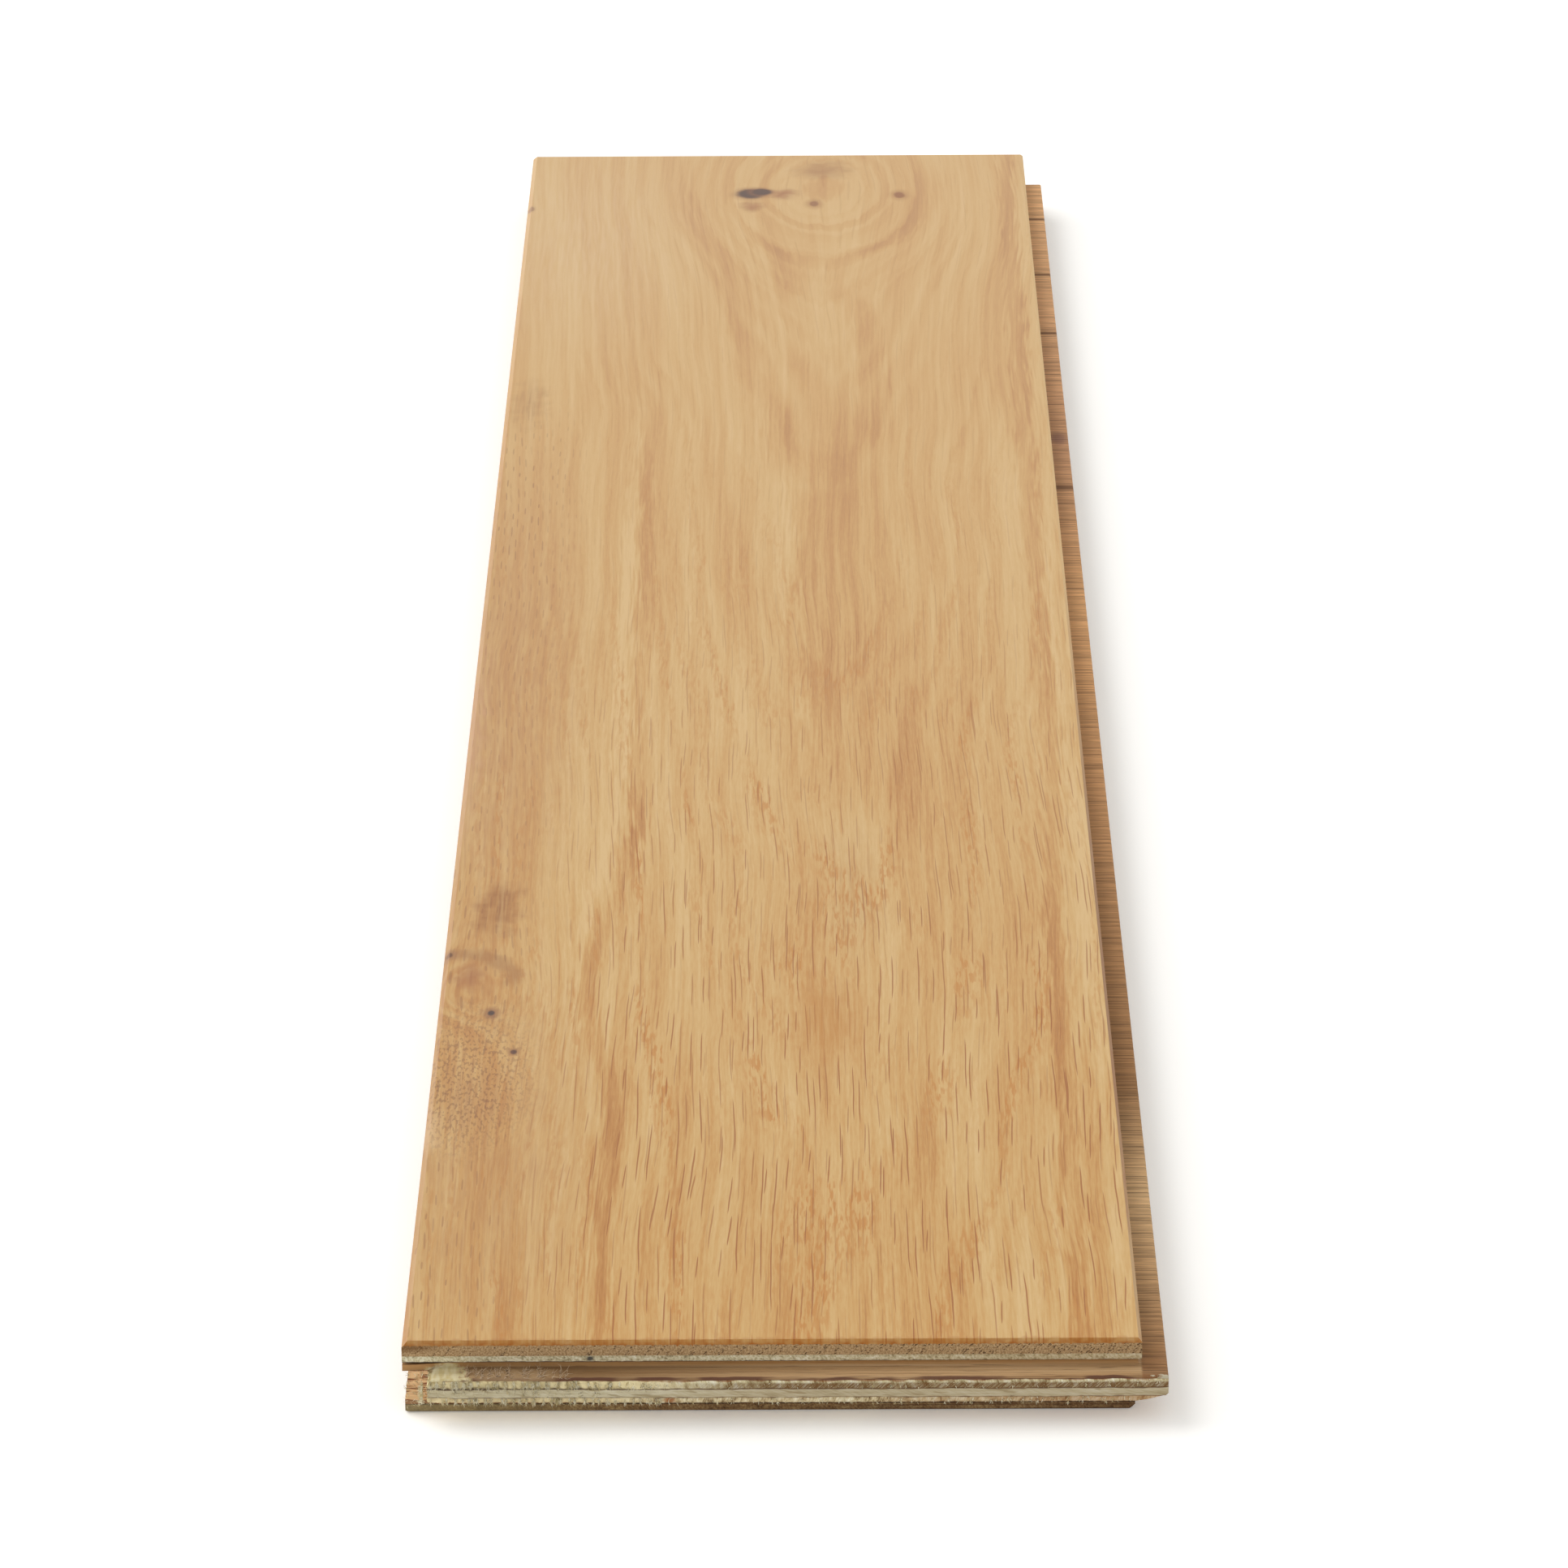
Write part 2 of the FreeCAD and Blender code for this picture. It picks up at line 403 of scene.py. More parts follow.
depth = add(oak, "Math", [y, -TAPER, PITH_DEPTH], operation="MULTIPLY_ADD")
depth = add(oak, "Math", [depth, z], operation="SUBTRACT")
from_pith = add(oak, "Math", [across, PITH_ACROSS], operation="SUBTRACT")
ring_place = add(oak, "CombineXYZ", [from_pith, depth])
age = add(oak, "VectorMath", [ring_place], out="Value", operation="LENGTH")
age = add(oak, "Math", [age, bulge], operation="SUBTRACT")
for width, length, height in BENDS:
    bend = fibre_noise(oak, grain, (width, length, FAR), detail=1.0, plane=True)
    age = add(oak, "Math", [bend, height, age], operation="MULTIPLY_ADD")
ring = add(oak, "Math", [age, RING], operation="DIVIDE")
year = add(oak, "Math", [ring], operation="FLOOR")
growth = add(oak, "Math", [ring], operation="FRACT")
early = add(oak, "ValToRGB", [growth], stops=YEAR)
vigour = add(oak, "TexWhiteNoise", {"W": year}, noise_dimensions="1D")
vigour = add(oak, "MapRange", [vigour, 0.0, 1.0, POOR_YEAR, 1.0])
early = add(oak, "Math", [early, vigour], operation="MULTIPLY")
print("oak: rings", RING, "mm apart, bent in", len(BENDS), "ways")

# %% [markdown]
# ## Oak: tone
# Tone is one number, from dark to light, that the fibres, the rings and some long streaks add to. A ramp
# then turns it to colour. The grain is softer towards the rear, so the finest strokes count more in front.

# %% Oak: strokes and rings in the tone
# Strokes of fibre: width and length in millimetres, swing of the tone, and whether they are fine.
STROKES = [
    (0.45, 7, 0.05, True),
    (0.7, 45, 0.06, True),
    (1.6, 110, 0.07, False),
    (5.0, 240, 0.09, False),
    (22.0, 420, 0.10, False),
]
MEAN_TONE = 0.66
RING_WEIGHT = -0.12
# Lines that follow the rings: width and length, weight, and what a knot adds to it.
ARCH_SIZES = (3.4, 300, FAR)
ARCH_WEIGHT = 0.05
KNOT_WEIGHT = 0.14
# Noise seldom leaves this range.
LOW = 0.36
HIGH = 0.64

crisp = add(oak, "MapRange", [y, 420.0, -160.0, 0.35, 1.0], **EASED)
tone = MEAN_TONE
for width, length, swing, is_fine in STROKES:
    stroke = fibre_noise(oak, grain, (width, length, FAR), plane=True)
    stroke = add(oak, "MapRange", [stroke, LOW, HIGH, -swing, swing], **EASED)
    tone = add(oak, "Math", [stroke, crisp if is_fine else 1.0, tone], operation="MULTIPLY_ADD")
tone = add(oak, "Math", [early, RING_WEIGHT, tone], operation="MULTIPLY_ADD")
arches = add(oak, "CombineXYZ", [age, y])
arches = fibre_noise(oak, arches, ARCH_SIZES, plane=True)
arches = add(oak, "MapRange", [arches, LOW, HIGH, -1.0, 1.0], **EASED)
weight = add(oak, "Math", [knotty, KNOT_WEIGHT, ARCH_WEIGHT], operation="MULTIPLY_ADD")
tone = add(oak, "Math", [arches, weight, tone], operation="MULTIPLY_ADD")
print("oak:", len(STROKES), "widths of stroke")

# %% Oak: streaks in the tone
# Long streaks: path of (along, across) points, half width, fade at the ends, weight in the tone.
STREAKS = [
    ([(-537, -48.3), (-447, -48.3), (-393, -47.3), (-340, -53.3), (-297, -56.0), (-257, -52.0),
      (-180, -44.5)], 4.5, 60, -0.3),
    ([(-180, -44.5), (-100, -46.0), (0, -46.5), (150, -47.0)], 3.2, 100, -0.24),
    ([(-340, -60.0), (-300, -61.0), (-240, -58.0), (-180, -52.5), (-130, -50.5), (-60, -51.5), (60, -52.0),
      (180, -52.5)], 3.0, 90, 0.24),
    ([(-60, 4.0), (60, 2.0), (160, 0.5)], 3.0, 50, 0.2),
    ([(-537, 76.0), (-430, 77.0), (-350, 77.5), (-250, 78.0), (-180, 80.5), (0, 82.0), (180, 82.0),
      (300, 83.0), (540, 84.0)], 4.5, 50, -0.32),
    ([(-537, 87.0), (540, 89.5)], 3.5, 50, 0.2),
    ([(-130, 26.0), (-60, 24.0), (20, 22.0), (100, 18.0), (200, 12.0)], 25.0, 60, -0.22),
    ([(183, -1.0), (226, -4.5), (276, -13.0), (343, -16.0), (403, -23.0), (450, -36.0), (493, -42.0),
      (543, -44.5)], 9.0, 40, -0.28),
    ([(370, 2.0), (393, 1.7), (426, -11.0)], 7.0, 25, -0.2),
    ([(210, 29.0), (343, 27.0), (370, 19.0), (403, 22.0), (433, 42.0), (500, 55.0)], 9.0, 40, -0.26),
    ([(305, 6.0), (356, 4.0)], 13.0, 30, 0.18),
]
# Jagged edge of a streak: sizes of a jag, and how far the edge strays, in millimetres.
FRAY_SIZES = (1.1, 26, FAR)
FRAY = 9.0
FACE_TONES = [(0, "#a6692a"), (0.25, "#b98140"), (0.5, "#c79857"), (0.75, "#cfa86b"), (1, "#d6b37b")]

fray = fibre_noise(oak, grain, FRAY_SIZES, plane=True)
frayed = add(oak, "Math", [fray, FRAY, x], operation="MULTIPLY_ADD")
frayed = add(oak, "Math", [frayed, FRAY / 2], operation="SUBTRACT")
for path, half_width, fade, weight in STREAKS:
    mask = band(oak, frayed, y, path, half_width, fade)
    tone = add(oak, "Math", [mask, weight, tone], operation="MULTIPLY_ADD")
face_colour = add(oak, "ValToRGB", [tone], stops=FACE_TONES)
# Painted reflection: the face is tinted paler towards the rear, in place of the lacquer's sheen of the white
# studio.
pale = add(oak, "MapRange", [y, -540.0, 540.0, 0.0, 0.45])
face_colour = tinted(oak, face_colour, "#d3af7d", pale)
print("oak:", len(STREAKS), "streaks,", len(FACE_TONES), "tones from dark to light")

# %% [markdown]
# ## Oak: flames, rays and dashes
# The pores of each ring's start run together to orange flames. Oak's rays end on the face as thin brown
# lines, up to 54 mm long. On the left, where the wood grew nearer a branch, short dark dashes show. Real rays
# are about 0.3 mm wide. They are drawn up to 0.5 mm wide, so that they show in a picture of the whole board.

# %% Oak: marks in the grain
# Kinds of ray: pitch across and along, half width, half length, and a shift that sets the two apart.
RAYS = [((3.7, 58.0), 0.25, 27.0, 0.0), ((3.0, 46.0), 0.23, 21.0, 7.3)]

flames = fibre_noise(oak, grain, (1.0, 9, FAR), detail=2.0, plane=True)
flames = (flames, 0.46, 0.6)
clusters = fibre_noise(oak, grain, (24, 90, FAR), plane=True)
clusters = (clusters, 0.4, 0.6, 0.25, 1.0)
to_front = (y, 300.0, -350.0, 0.12, 0.9)
face_colour = tinted(oak, face_colour, "#bd7d34", flames, clusters, early, to_front)

rays = [spindles(oak, across, y, *kind) for kind in RAYS]
rays = add(oak, "Math", rays, operation="MAXIMUM")
to_front = (y, 200.0, -400.0, 0.12, 0.8)
to_heart = (x, -80.0, -40.0, 0.3, 1.0)
face_colour = tinted(oak, face_colour, "#98561f", rays, to_front, to_heart)

dashes = spindles(oak, across, y, (2.1, 17.0), 0.3, 6.0, 2.1)
to_branch = (x, -62.0, -86.0)
to_front = (y, 270.0, 150.0, 0.0, 0.5)
face_colour = tinted(oak, face_colour, "#8a5a36", dashes, to_branch, to_front)
print("oak: flames,", len(RAYS), "kinds of ray, dashes")

# %% [markdown]
# ## Oak: knots and stains
# Two knots, a few pin knots and some stains make this board the one in the photograph. They could be
# painted by hand. Here each is a soft oval at its own place, and noise pushes its rim about, so that no two
# have the same edge.

# %% Oak: stains
# Clouds of stain: place across and along, half sizes, colour, strength.
STAINS = [
    (-90, -60, 36, 330, "#b5824f", 0.6),
    (-75, 430, 60, 190, "#dcc097", 0.3),
    (-90, 235, 9, 42, "#a0703f", 0.42),
    (-98, -90, 7, 120, "#cb9b79", 0.4),
    (-82, -420, 44, 190, "#b07d4c", 0.42),
    (-84, -240, 10, 28, "#935a28", 0.8),
    (-90, -290, 7, 16, "#9f6237", 0.65),
    (-88, -380, 13, 30, "#a06c40", 0.22),
    (-97.5, -262, 4, 10, "#e0c095", 0.15),
    (-97.5, -402, 5, 24, "#dfbf92", 0.6),
    (12, -326, 17, 44, "#b87a30", 0.6),
    (20, -225, 13, 80, "#b08a5a", 0.2),
    (14, 522, 15, 18, "#a67749", 0.75),
    (-13, 474, 6, 11, "#a0683d", 0.75),
    (-2, 490, 10, 10, "#9f673d", 0.85),
]
# Stains with a half length up to this have no streaks in them.
SMALL_STAIN = 25
# A rim strays by these shares of a stain's half sizes, which count only up to these lengths.
RIM_SHARES = (1.2, 0.8)
RIM_LIMITS = (10, 30)
NOISE_MEAN = (0.5, 0.5, 0.5)

ragged = add(oak, "TexNoise", {"Vector": place, "Scale": 0.12, "Detail": 3.0}, out="Color")
ragged = add(oak, "VectorMath", [ragged, NOISE_MEAN], operation="SUBTRACT")
streaky = add(oak, "MapRange", [fray, 0.3, 0.7, 0.5, 1.3])
for centre_x, centre_y, half_x, half_y, hue, share in STAINS:
    stray_x = min(half_x, RIM_LIMITS[0]) * RIM_SHARES[0]
    stray_y = min(half_y, RIM_LIMITS[1]) * RIM_SHARES[1]
    warped = add(oak, "VectorMath", [ragged, (stray_x, stray_y, 0), place], operation="MULTIPLY_ADD")
    mask = oval(oak, warped, (centre_x, centre_y, 0), (half_x, half_y, FAR))
    face_colour = tinted(oak, face_colour, hue, mask, streaky if half_y > SMALL_STAIN else 1.0, share)
print("oak:", len(STAINS), "stains")

# %% Oak: curl of dark grain behind the left knot
CURL_CENTRE = Vector((-93, -297, 0))
CURL_HALF_SIZES = (15, 23, FAR)
# Shares of those half sizes at which the line fades out and is darkest.
CURL_LINE = (0.3, 0.03)
CURL_STRAY = (7.0, 9.0, 0)
CURL_END = 6

warped = add(oak, "VectorMath", [ragged, CURL_STRAY, place], operation="MULTIPLY_ADD")
reach = add(oak, "VectorMath", [warped, CURL_CENTRE], operation="SUBTRACT")
reach = add(oak, "VectorMath", [reach, CURL_HALF_SIZES], operation="DIVIDE")
reach = add(oak, "VectorMath", [reach], out="Value", operation="LENGTH")
off = add(oak, "Math", [reach, 1.0], operation="SUBTRACT")
off = add(oak, "Math", [off], operation="ABSOLUTE")
curl = (off, *CURL_LINE, 0.0, 0.42)
behind = (y, CURL_CENTRE.y - CURL_END, CURL_CENTRE.y + CURL_END)
face_colour = tinted(oak, face_colour, "#8f5c33", curl, behind)
print("oak: a curl", 2 * CURL_HALF_SIZES[0], "mm wide")

# %% Oak: knots and specks
# Knots: place across and along, half sizes of the core, colour of core and of halo, size of the halo.
KNOTS = [
    (-13.8, 490.5, 7.0, 7.6, "#4c352b", "#9a6a42", 1.45),
    (-9.6, 493.0, 4.8, 5.6, "#523a2e", "#94603a", 1.4),
    (10.6, 477.0, 2.2, 4.4, "#956640", "#b38553", 2.2),
    (43.1, 488.3, 2.6, 5.0, "#946139", "#b38350", 2.0),
    (-96.9, 472, 1.6, 4.0, "#a57c58", "#c09a6e", 1.6),
    (-83.2, -318.5, 1.3, 2.4, "#43302b", "#8f603f", 2.6),
    (-75.9, -346.7, 1.2, 1.9, "#55362a", "#94643f", 2.0),
    (-97.0, -275, 1.4, 2.4, "#6d4529", "#a1744b", 2.4),
]
KNOT_STRAY = 0.5
# Halo and core of a knot: share that is solid, and strength.
HALO = (0.3, 0.75)
CORE = (0.5, 0.93)
# The specked patch in front of the left knot: centre, half sizes, and stray of its specks.
BURL_CENTRE = (-88, -365, 0)
BURL_HALF_SIZES = (24, 70, FAR)
BURL_STRAY = (0.7, 1.2, 0)

for centre_x, centre_y, half_x, half_y, core, halo, spread in KNOTS:
    stray = (half_x * KNOT_STRAY, half_y * KNOT_STRAY, 0)
    warped = add(oak, "VectorMath", [ragged, stray, place], operation="MULTIPLY_ADD")
    for hue, size, (inner, share) in ((halo, spread, HALO), (core, 1.0, CORE)):
        mask = oval(oak, warped, (centre_x, centre_y, 0), (half_x * size, half_y * size, FAR), inner)
        face_colour = tinted(oak, face_colour, hue, mask, share)
warped = add(oak, "VectorMath", [ragged, BURL_STRAY, place], operation="MULTIPLY_ADD")
specks = fibre_noise(oak, warped, (0.9, 2.6, FAR), detail=2.0, plane=True)
specks = (specks, 0.52, 0.62, 0.0, 0.45)
burl = oval(oak, place, BURL_CENTRE, BURL_HALF_SIZES, 0.3)
face_colour = tinted(oak, face_colour, "#74472c", specks, burl)
print("oak:", len(KNOTS), "knots and a specked patch")

# %% [markdown]
# ## Oak: sawn end
# The end is raw: greyish brown, with open pores. They lie in rows that lean, because the rings cross the
# thin layer at a slant. Real pores are about 0.3 mm wide and closer together. They are drawn up to 0.5 mm
# wide, so that they show.

# %% Oak: raw end
PORE_PITCH = 0.75
PORE_LEAN = -0.8

cut = add(oak, "Math", [z, PORE_LEAN, x], operation="MULTIPLY_ADD")
cut_place = add(oak, "CombineXYZ", [cut, z])
cut_tone = fibre_noise(oak, place, (0.45, FAR, 0.45), detail=2.5)
cut_tone = (cut_tone, 0.3, 0.7)
raw_colour = tinted(oak, "#93724c", "#c9aa80", cut_tone)
pores = add(oak, "TexVoronoi", {"Vector": cut_place, "Scale": 1 / PORE_PITCH}, voronoi_dimensions="2D")
pores = (pores, 0.36, 0.2, 0.0, 0.85)
rows = fibre_noise(oak, cut_place, (1.6, 6.0, FAR), detail=1.0, plane=True)
to_right = add(oak, "MapRange", [x, -60.0, 80.0, 0.54, 0.44])
rows = add(oak, "Math", [rows, to_right], operation="SUBTRACT")
rows = add(oak, "MapRange", [rows, 0.0, 0.1])
raw_colour = tinted(oak, raw_colour, "#452e1c", pores, rows)
corner_stain = oval(oak, place, (-98, -537, 18.6), (13, 8, 2.2), 0.2)
raw_colour = tinted(oak, raw_colour, "#6b451f", corner_stain, 0.7)
print("oak: pores", PORE_PITCH, "mm apart on the end")

# %% [markdown]
# ## Oak: bevels and lacquer
# The bevels are cut before the finish goes on. The end one cuts across the fibres, so it soaks up more
# finish and is darker, and some of that runs in on the face. The lacquer is satin, and thin enough to leave
# the fibres' relief. Which way a surface faces tells the face, the bevels and the raw end apart.

# %% Oak: bevels
SHOULDER = round(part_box("oak_wear_layer")[0].y / MM, 1)
BEVEL_FOOT = 19.0
BEVEL_TOP = 20.0
RUN_IN = 3.0
SOAKED = "#9e5a18"
# Painted highlight and painted shade along the right bevel: colour, strength to the rear and to the front.
RIGHT_BEVEL_HIGHLIGHT_AND_SHADE = [("#ecbf72", 0.65, 0.0), ("#935a14", 0.0, 0.85)]

normal = add(oak, "NewGeometry", out="True Normal")
facing_x, facing_y, facing_z = add(oak, "SeparateXYZ", [normal]).node.outputs
upward = add(oak, "MapRange", [facing_z, 0.9, 0.97])
sloping = add(oak, "Math", [1.0, upward], operation="SUBTRACT")
endward = add(oak, "Math", [facing_y], operation="ABSOLUTE")
endward = add(oak, "Math", [endward, 0.4], operation="GREATER_THAN")
soaked = fibre_noise(oak, place, (2.4, FAR, 1.2))
soaked = add(oak, "MapRange", [soaked, 0.3, 0.7, 0.45, 0.95], **EASED)
downward = (z, BEVEL_TOP, BEVEL_FOOT, 0.55, 1.0)
colour = tinted(oak, face_colour, SOAKED, endward, sloping, soaked, downward)
run_in = add(oak, "Math", [soaked, RUN_IN, y], operation="MULTIPLY_ADD")
run_in = (run_in, SHOULDER + 4.4, SHOULDER + 2.4, 0.0, 0.35)
colour = tinted(oak, colour, SOAKED, run_in, upward)

# Painted shade: the left bevel, which faces the lamp, is darkened, more towards the front.
painted_shade_leftward = (facing_x, -0.3, -0.4)
to_front = (y, 500.0, -500.0, 0.12, 0.4)
colour = tinted(oak, colour, "#a9794a", painted_shade_leftward, to_front)
rightward = (facing_x, 0.3, 0.4)
from_front = (y, -490.0, -370.0, 0.35, 1.0)
# Painted highlight towards the rear of the right bevel, painted shade towards its front.
for hue, rear_share, front_share in RIGHT_BEVEL_HIGHLIGHT_AND_SHADE:
    share = (y, 120.0, -260.0, rear_share, front_share)
    colour = tinted(oak, colour, hue, share, from_front, rightward)
print("oak: shoulder at", SHOULDER, "mm")

# %% Oak: lacquer
LACQUER_ROUGHNESS = 0.42
RAW_ROUGHNESS = 0.85
LACQUER_IOR = 1.5
# The lower edge of the finish is ragged by this many millimetres, and the fibres' relief is this deep.
FRAYED = 1.8
RELIEF = 0.06

raw = add(oak, "MapRange", [facing_z, 0.3, 0.2])
fringe = fibre_noise(oak, place, (0.9, FAR, 0.9), detail=3.0)
fringe = add(oak, "Math", [fringe, FRAYED, z], operation="MULTIPLY_ADD")
start, end = BEVEL_FOOT + 0.52 * FRAYED, BEVEL_FOOT + 0.42 * FRAYED
fringe = add(oak, "MapRange", [fringe, start, end], **EASED)
raw = add(oak, "Math", [raw, fringe], operation="MULTIPLY")
colour = tinted(oak, colour, raw_colour, raw)
gloss = add(oak, "MapRange", [raw, 0.0, 1.0, LACQUER_ROUGHNESS, RAW_ROUGHNESS])
raised = add(oak, "Bump", {"Height": fray, "Strength": 0.3, "Distance": RELIEF * MM})
oak_shade = oak.nodes[SHADER]
oak.links.new(colour, oak_shade.inputs["Base Color"])
oak.links.new(gloss, oak_shade.inputs["Roughness"])
oak.links.new(raised, oak_shade.inputs["Normal"])
oak_shade.inputs["IOR"].default_value = LACQUER_IOR
oak_shade.inputs["Specular IOR Level"].default_value = 0.2

oak_layer = board["oak_wear_layer"]
oak_layer.data.materials.clear()
oak_layer.data.materials.append(oak_finish)
print("oak:", len(oak.nodes), "nodes in its finish")

# %% [markdown]
# ## Plies: finish of a veneer
# The seven plies are peeled veneers, laid with their grain lengthwise and crosswise by turns. At the front
# end a lengthwise ply shows the cut ends of its fibres, a crosswise one its side. So a veneer needs a few
# patterns of noise, drawn out along its own grain, then a dark glue line at its faces, and its own marks.

# %% Plies: one recipe for every veneer
GLUE_WIDTH = 0.2
GLUE_SHARE = 0.85
# Painted shade in the tears: depths in millimetres at which it starts and is darkest, and how dark it starts
# and ends.
PAINTED_TEAR_SHADE = (1.1, 1.9, 0.0, 0.75)


def veneer(name, node, tones, patterns, glue, faces=(0, 1), marks=(), sawn=True):
    """A veneer's finish and its parts: node tree, place, tone and colour.

    Tones go from dark to light. Patterns are (sizes, lean, weight). Faces tell where glue shows: below is 0,
    above is 1. Marks are (centre, half sizes, colour, share). A sawn ply carries the place that each corner
    had before it was pushed, so that marks follow the tears.
    """
    made, tree = finish_named(name)
    place = shown = in_millimetres(tree)
    if sawn:
        place = add(tree, "Attribute", out="Vector", attribute_name="sawn_place")
    tone = 0.5 - sum(weight for _, _, weight in patterns) / 2
    for sizes, lean, weight in patterns:
        fibre = fibre_noise(tree, place, sizes, lean)
        tone = add(tree, "Math", [fibre, weight, tone], operation="MULTIPLY_ADD")
    colour = add(tree, "ValToRGB", [tone], stops=zip((0, 0.5, 1), tones))
    height = add(tree, "SeparateXYZ", [place]).node.outputs[2]
    reach = fibre_noise(tree, place, (3.0, 3.0, 0.8))
    reach = add(tree, "MapRange", [reach, 0.3, 0.7, 0.4 * GLUE_WIDTH, 1.8 * GLUE_WIDTH])
    for face in faces:
        off = add(tree, "Math", [height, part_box(node)[face].z / MM], operation="SUBTRACT")
        off = add(tree, "Math", [off], operation="ABSOLUTE")
        off = add(tree, "Math", [off, reach], operation="DIVIDE")
        colour = tinted(tree, colour, glue, (off, 1.0, 0.4), GLUE_SHARE)
    if sawn:
        pushed = add(tree, "VectorMath", [shown, place], operation="SUBTRACT")
        pushed = add(tree, "SeparateXYZ", [pushed]).node.outputs[1]
        # Painted shade: the deeper a corner was pushed into a tear, the darker its colour.
        colour = tinted(tree, colour, "#5d4628", (pushed, *PAINTED_TEAR_SHADE))
    for centre, half_sizes, mark, share in marks:
        colour = tinted(tree, colour, mark, oval(tree, place, centre, half_sizes, 0.3), share)
    print("veneer:", name)
    return made, tree, place, tone, colour


def seal(tree, tone, colour, roughness=0.82, relief=0.12):
    """Links a veneer's colour, its raw dry surface and a fine fibrous relief of that depth in millimetres."""
    shade = tree.nodes[SHADER]
    tree.links.new(colour, shade.inputs["Base Color"])
    shade.inputs["Roughness"].default_value = roughness
    shade.inputs["Specular IOR Level"].default_value = 0.25
    raised = add(tree, "Bump", {"Height": tone, "Strength": 0.5, "Distance": relief * MM})
    tree.links.new(raised, shade.inputs["Normal"])


# %% [markdown]
# ## Plies: pale top veneer
# The first ply under the oak is pale poplar, fine and dense. The saw left it greyish, with the cut ends of
# its fibres as dark grains, a dark spot at the left, and a little brown towards the right.

# %% Plies: pale top veneer
top_finish, tree, place, tone, colour = veneer(
    "pale_veneer_fine_sawn", "ply_1_lengthwise", ("#7d6c4b", "#d6cba6", "#f8f3dc"),
    [((0.55, 9, 0.55), 0.3, 1.4), ((2.2, 30, 1.2), 0.0, 0.6), ((18, 90, 9), 0.0, 0.5)],
    "#463434", faces=(0,), marks=[((-49.9, SHOULDER, 15.1), (1.3, 2.0, 1.0), "#39393b", 0.9)],
)
x = add(tree, "SeparateXYZ", [place])
browner = (x, -20.0, 90.0, 0.0, 0.28)
colour = tinted(tree, colour, "#a87f45", browner)
seal(tree, tone, colour)

# %% [markdown]
# ## Plies: brown crosswise veneer
# The tongue's top is cut in this ply, so it shows on the end and along the right side. Its fibres lie across
# the board: long fine lines on the end, ribs on the side tongue. It could have a material for each, but one
# that asks where it is has no seams. First comes the end, with painted shade on the left of the tongue's top.

# %% Plies: brown veneer on the end tongue
TONGUE_TOP = 12.6

brown_finish, tree, place, tone, colour = veneer(
    "brown_crosswise_veneer", "ply_2_crosswise", ("#84603a", "#c19a6c", "#e6c598"),
    [((70, 0.45, 0.45), 0.0, 1.0), ((30, 0.25, 0.25), 0.0, 0.5), ((120, 2.6, 2.6), 0.0, 0.9)], "#5a3b35",
)
x, y, z = add(tree, "SeparateXYZ", [place]).node.outputs
dashes = fibre_noise(tree, place, (11, 0.5, 0.5))
dashes = (dashes, 0.6, 0.68, 0.0, 0.55)
colour = tinted(tree, colour, "#5c3f26", dashes)
wall = (z, TONGUE_TOP + 0.05, TONGUE_TOP + 0.5, 0.0, 0.6)
colour = tinted(tree, colour, "#c4935a", wall)
# Painted shade: the tongue's top is darkened towards the left.
painted_lighting_to_left = (x, 30.0, -75.0, 0.0, 0.9)
below_wall = (z, TONGUE_TOP + 0.3, TONGUE_TOP + 0.02)
colour = tinted(tree, colour, "#80603c", painted_lighting_to_left, below_wall)

# %% [markdown]
# ## Plies: brown veneer on the side tongue
# Along the side tongue the colour changes slowly from front to rear. The cutter left ribs across it, a few
# dark bars and one bruise.

# %% Plies: brown veneer on the side tongue
SIDE_FROM = 91.6
# Colours along the side tongue, from front to rear.
SIDE_TONES = [
    (-543, "#9a6e45"), (-430, "#caa577"), (-355, "#986f46"), (-120, "#ba8a5c"), (50, "#cd9b69"),
    (200, "#bd8d66"), (500, "#daa978"),
]
# Ribs across it, as painted light and shade: sizes, then the range of the noise and of the light that it
# gives.
RIBS = [((30, 0.6, 30), (0.34, 0.54, 0.68, 1.24)), ((9, 0.35, 9), (0.3, 0.65, 0.72, 1.15))]
# Dark bars across it: place along and half length.
BARS = [(480, 2.6), (409, 2.2), (337, 2.6), (163, 4.0)]

start, end = SIDE_TONES[0][0], SIDE_TONES[-1][0]
share = add(tree, "MapRange", [y, start, end])
stops = [((along - start) / (end - start), hue) for along, hue in SIDE_TONES]
side = add(tree, "ValToRGB", [share], stops=stops)
# Painted light and shade of the cutter's ribs.
for sizes, light in RIBS:
    rib = add(tree, "MapRange", [fibre_noise(tree, place, sizes), *light])
    side = add(tree, "VectorMath", {0: side, "Scale": rib}, operation="SCALE")
for along, half_length in BARS:
    bar = oval(tree, place, (0, along, 0), (FAR, half_length, FAR), 0.2)
    side = tinted(tree, side, "#57371f", bar, 0.75)
bruise = oval(tree, place, (95, 216, TONGUE_TOP), (4.5, 10, 3), 0.2)
side = tinted(tree, side, "#75504a", bruise, 0.6)
on_side = (x, SIDE_FROM - 0.4, SIDE_FROM + 0.4)
colour = tinted(tree, colour, side, on_side)
print("side tongue:", len(BARS), "dark bars")

# %% [markdown]
# ## Plies: brown veneer where it is worn
# The tongue's front rim is bruised dark in stretches. At the corners the brown ply came off in ragged
# patches, and the pale one below it shows.

# %% Plies: brown veneer where it is worn
FRONT = round(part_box("ply_2_crosswise")[0].y / MM, 1)

